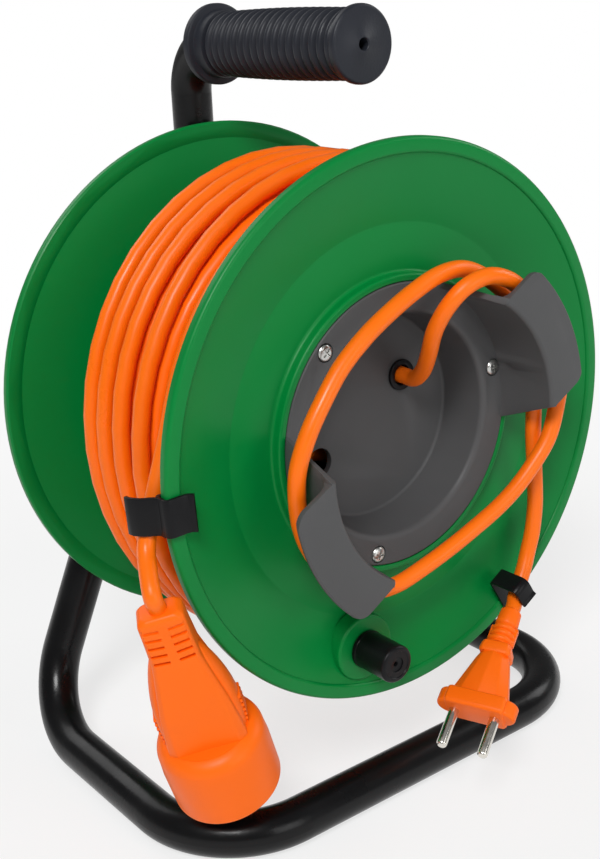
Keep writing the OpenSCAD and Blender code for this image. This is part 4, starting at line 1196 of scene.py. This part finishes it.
class REEL_OT_grip(ReelOperator):
    """Makes the ribbed grip with its front disc and rear guard"""

    bl_idname = "reel.grip"
    bl_label = "Grip"

    def make(self, detail):
        length = (GRIP_HIGH.y - GRIP_LOW.y) / MM
        middle_z = (GRIP_HIGH.z + GRIP_LOW.z) / 2
        front = Matrix.Translation((0, GRIP_LOW.y, middle_z))
        place = front @ Matrix.Rotation(math.radians(-90), 4, "X") @ Matrix.Scale(MM, 4)
        outline = self.front_disc() + self.ribs(length, detail.grip_ribs)
        outline += self.guard(length)
        piece = lathe("grip_sleeve", outline, place, 128, 40)
        hand_over(piece, "stand", "grip_rubber", "handle_grip")

    def front_disc(self):
        """The smooth front end with its small hole."""
        outline = [(2.5, 5.9), (2.5, 0.3), (2.8, 0.0), (3.5, 0.0), (3.8, 0.25)]
        outline += arc(14.8, 1.65, 1.4, -90, 0, 6)
        outline += arc(14.8, 3.0, 1.4, 0, 80, 5)
        return outline

    def ribs(self, length, count):
        """Rounded ribs, each leaning a little forward, on a slightly barrelled core."""
        outline = []
        start, stop = 5.4, length - 11
        pitch = (stop - start) / count
        for i in range(count):
            barrel = 0.7 * math.sin(math.pi * i / (count - 1))
            z = start + pitch * i
            root = 12.4 + barrel
            outline += [(root + out, z + on) for out, on in RIB]
        outline += [(12.9, stop), (15.0, stop + 0.5)]
        return outline

    def guard(self, back):
        """The step and the wide guard at the rear, and the bore round the tube."""
        outline = [(15.2, back - 9.4), (15.2, back - 5.2), (15.6, back - 4.6)]
        outline += arc(17.5, back - 3.4, 1.0, -90, 0, 4)
        outline += arc(17.5, back - 1.0, 1.0, 0, 90, 4)
        outline += [(10.6, back), (10.15, back - 0.5), (10.15, 6.0)]
        return outline


class REEL_OT_stage(ReelOperator):
    """Sets the pale floor, the white background and the soft lamps"""

    bl_idname = "reel.stage"
    bl_label = "Stage"

    def make(self, detail):
        self.floor()
        self.world()
        for row in LAMPS if detail.full_light else LAMPS[:2]:
            self.lamp(*row)
        bpy.context.scene.view_settings.view_transform = "Standard"

    def largest(self, tree, first, *rest):
        """The largest of several values."""
        for other in rest:
            first = tree.add("ShaderNodeMath", {0: first, 1: other}, operation="MAXIMUM")
        return first

    def floor(self):
        """A wide pale floor that fades into the white background."""
        mesh = bpy.data.meshes.new("floor")
        half = 6.0
        mesh.from_pydata([(-half, -half, 0), (half, -half, 0), (half, half, 0), (-half, half, 0)],
                         [], [(0, 1, 2, 3)])
        made = bpy.data.materials.new("Pale floor")
        made.use_nodes = True
        tree = Tree(made.node_tree)
        here = tree.add("ShaderNodeTexCoord").outputs["Object"]
        reach = tree.add("ShaderNodeVectorMath", {0: here}, operation="LENGTH").outputs["Value"]
        far = tree.add("ShaderNodeMapRange", {0: reach, 1: 0.3, 2: 0.9, 3: 0.7, 4: 1.0})
        ray = tree.add("ShaderNodeLightPath").outputs
        seen = self.largest(tree, ray["Is Camera Ray"], ray["Is Glossy Ray"], ray["Is Transmission Ray"])
        share = tree.add("ShaderNodeMath", {0: far, 1: seen}, operation="MULTIPLY")
        colour = (*bpy.context.scene.reel_colours.floor, 1)
        pale = tree.add("ShaderNodeBsdfDiffuse", {"Color": colour})
        white = tree.add("ShaderNodeEmission", {"Color": (1, 1, 1, 1), "Strength": 1.0})
        mixed = tree.add("ShaderNodeMixShader", {0: share, 1: pale, 2: white})
        tree.add("ShaderNodeOutputMaterial", {"Surface": mixed})
        mesh.materials.append(made)
        piece_from("floor", mesh)

    def world(self):
        """White to the camera and through clear pieces, a plain grey light elsewhere."""
        world = bpy.data.worlds.new("Studio")
        world.use_nodes = True
        tree = Tree(world.node_tree)
        ray = tree.add("ShaderNodeLightPath").outputs
        seen = self.largest(tree, ray["Is Camera Ray"], ray["Is Transmission Ray"])
        level = tree.add("ShaderNodeMapRange", {0: seen, 1: 0.0, 2: 1.0, 3: 0.2, 4: 1.0})
        light = tree.add("ShaderNodeBackground", {"Color": (1, 1, 1, 1), "Strength": level})
        tree.add("ShaderNodeOutputWorld", {"Surface": light})
        bpy.context.scene.world = world

    def lamp(self, name, place, size, power):
        """A soft square lamp that looks at the reel."""
        data = bpy.data.lights.new(name, "AREA")
        data.shape = "SQUARE"
        data.size = size
        data.energy = power
        lamp = bpy.data.objects.new(name, data)
        aim = (MIDDLE - Vector(place)).to_track_quat("-Z", "Y")
        lamp.matrix_world = Matrix.Translation(place) @ aim.to_matrix().to_4x4()
        bpy.context.scene.collection.objects.link(lamp)


OPERATORS = (
    REEL_OT_camera, REEL_OT_winding, REEL_OT_inner_lead, REEL_OT_plug_end, REEL_OT_socket_end,
    REEL_OT_flanges, REEL_OT_hub, REEL_OT_knob, REEL_OT_clips, REEL_OT_stand, REEL_OT_axle,
    REEL_OT_grip, REEL_OT_stage,
)


class REEL_PT_panel(bpy.types.Panel):
    """Lists the reel's pieces and settings in the sidebar"""

    bl_label = "Cord Reel"
    bl_idname = "REEL_PT_panel"
    bl_space_type = "VIEW_3D"
    bl_region_type = "UI"
    bl_category = "Cord Reel"

    def draw(self, context):
        for settings in (context.scene.reel_colours, context.scene.reel_detail):
            box = self.layout.box()
            for key in settings.__annotations__:
                box.prop(settings, key)
        for operator in OPERATORS:
            self.layout.operator(operator.bl_idname)


CLASSES = (ReelColours, ReelDetail) + OPERATORS + (REEL_PT_panel,)


def register():
    for each in CLASSES:
        bpy.utils.register_class(each)
    bpy.types.Scene.reel_colours = PointerProperty(type=ReelColours)
    bpy.types.Scene.reel_detail = PointerProperty(type=ReelDetail)


def unregister():
    del bpy.types.Scene.reel_detail
    del bpy.types.Scene.reel_colours
    for each in reversed(CLASSES):
        bpy.utils.unregister_class(each)


def main():
    """Makes every piece in order."""
    register()
    for operator in OPERATORS:
        group, name = operator.bl_idname.split(".")
        getattr(getattr(bpy.ops, group), name)()
    bpy.context.view_layer.update()


if __name__ == "__main__":
    main()
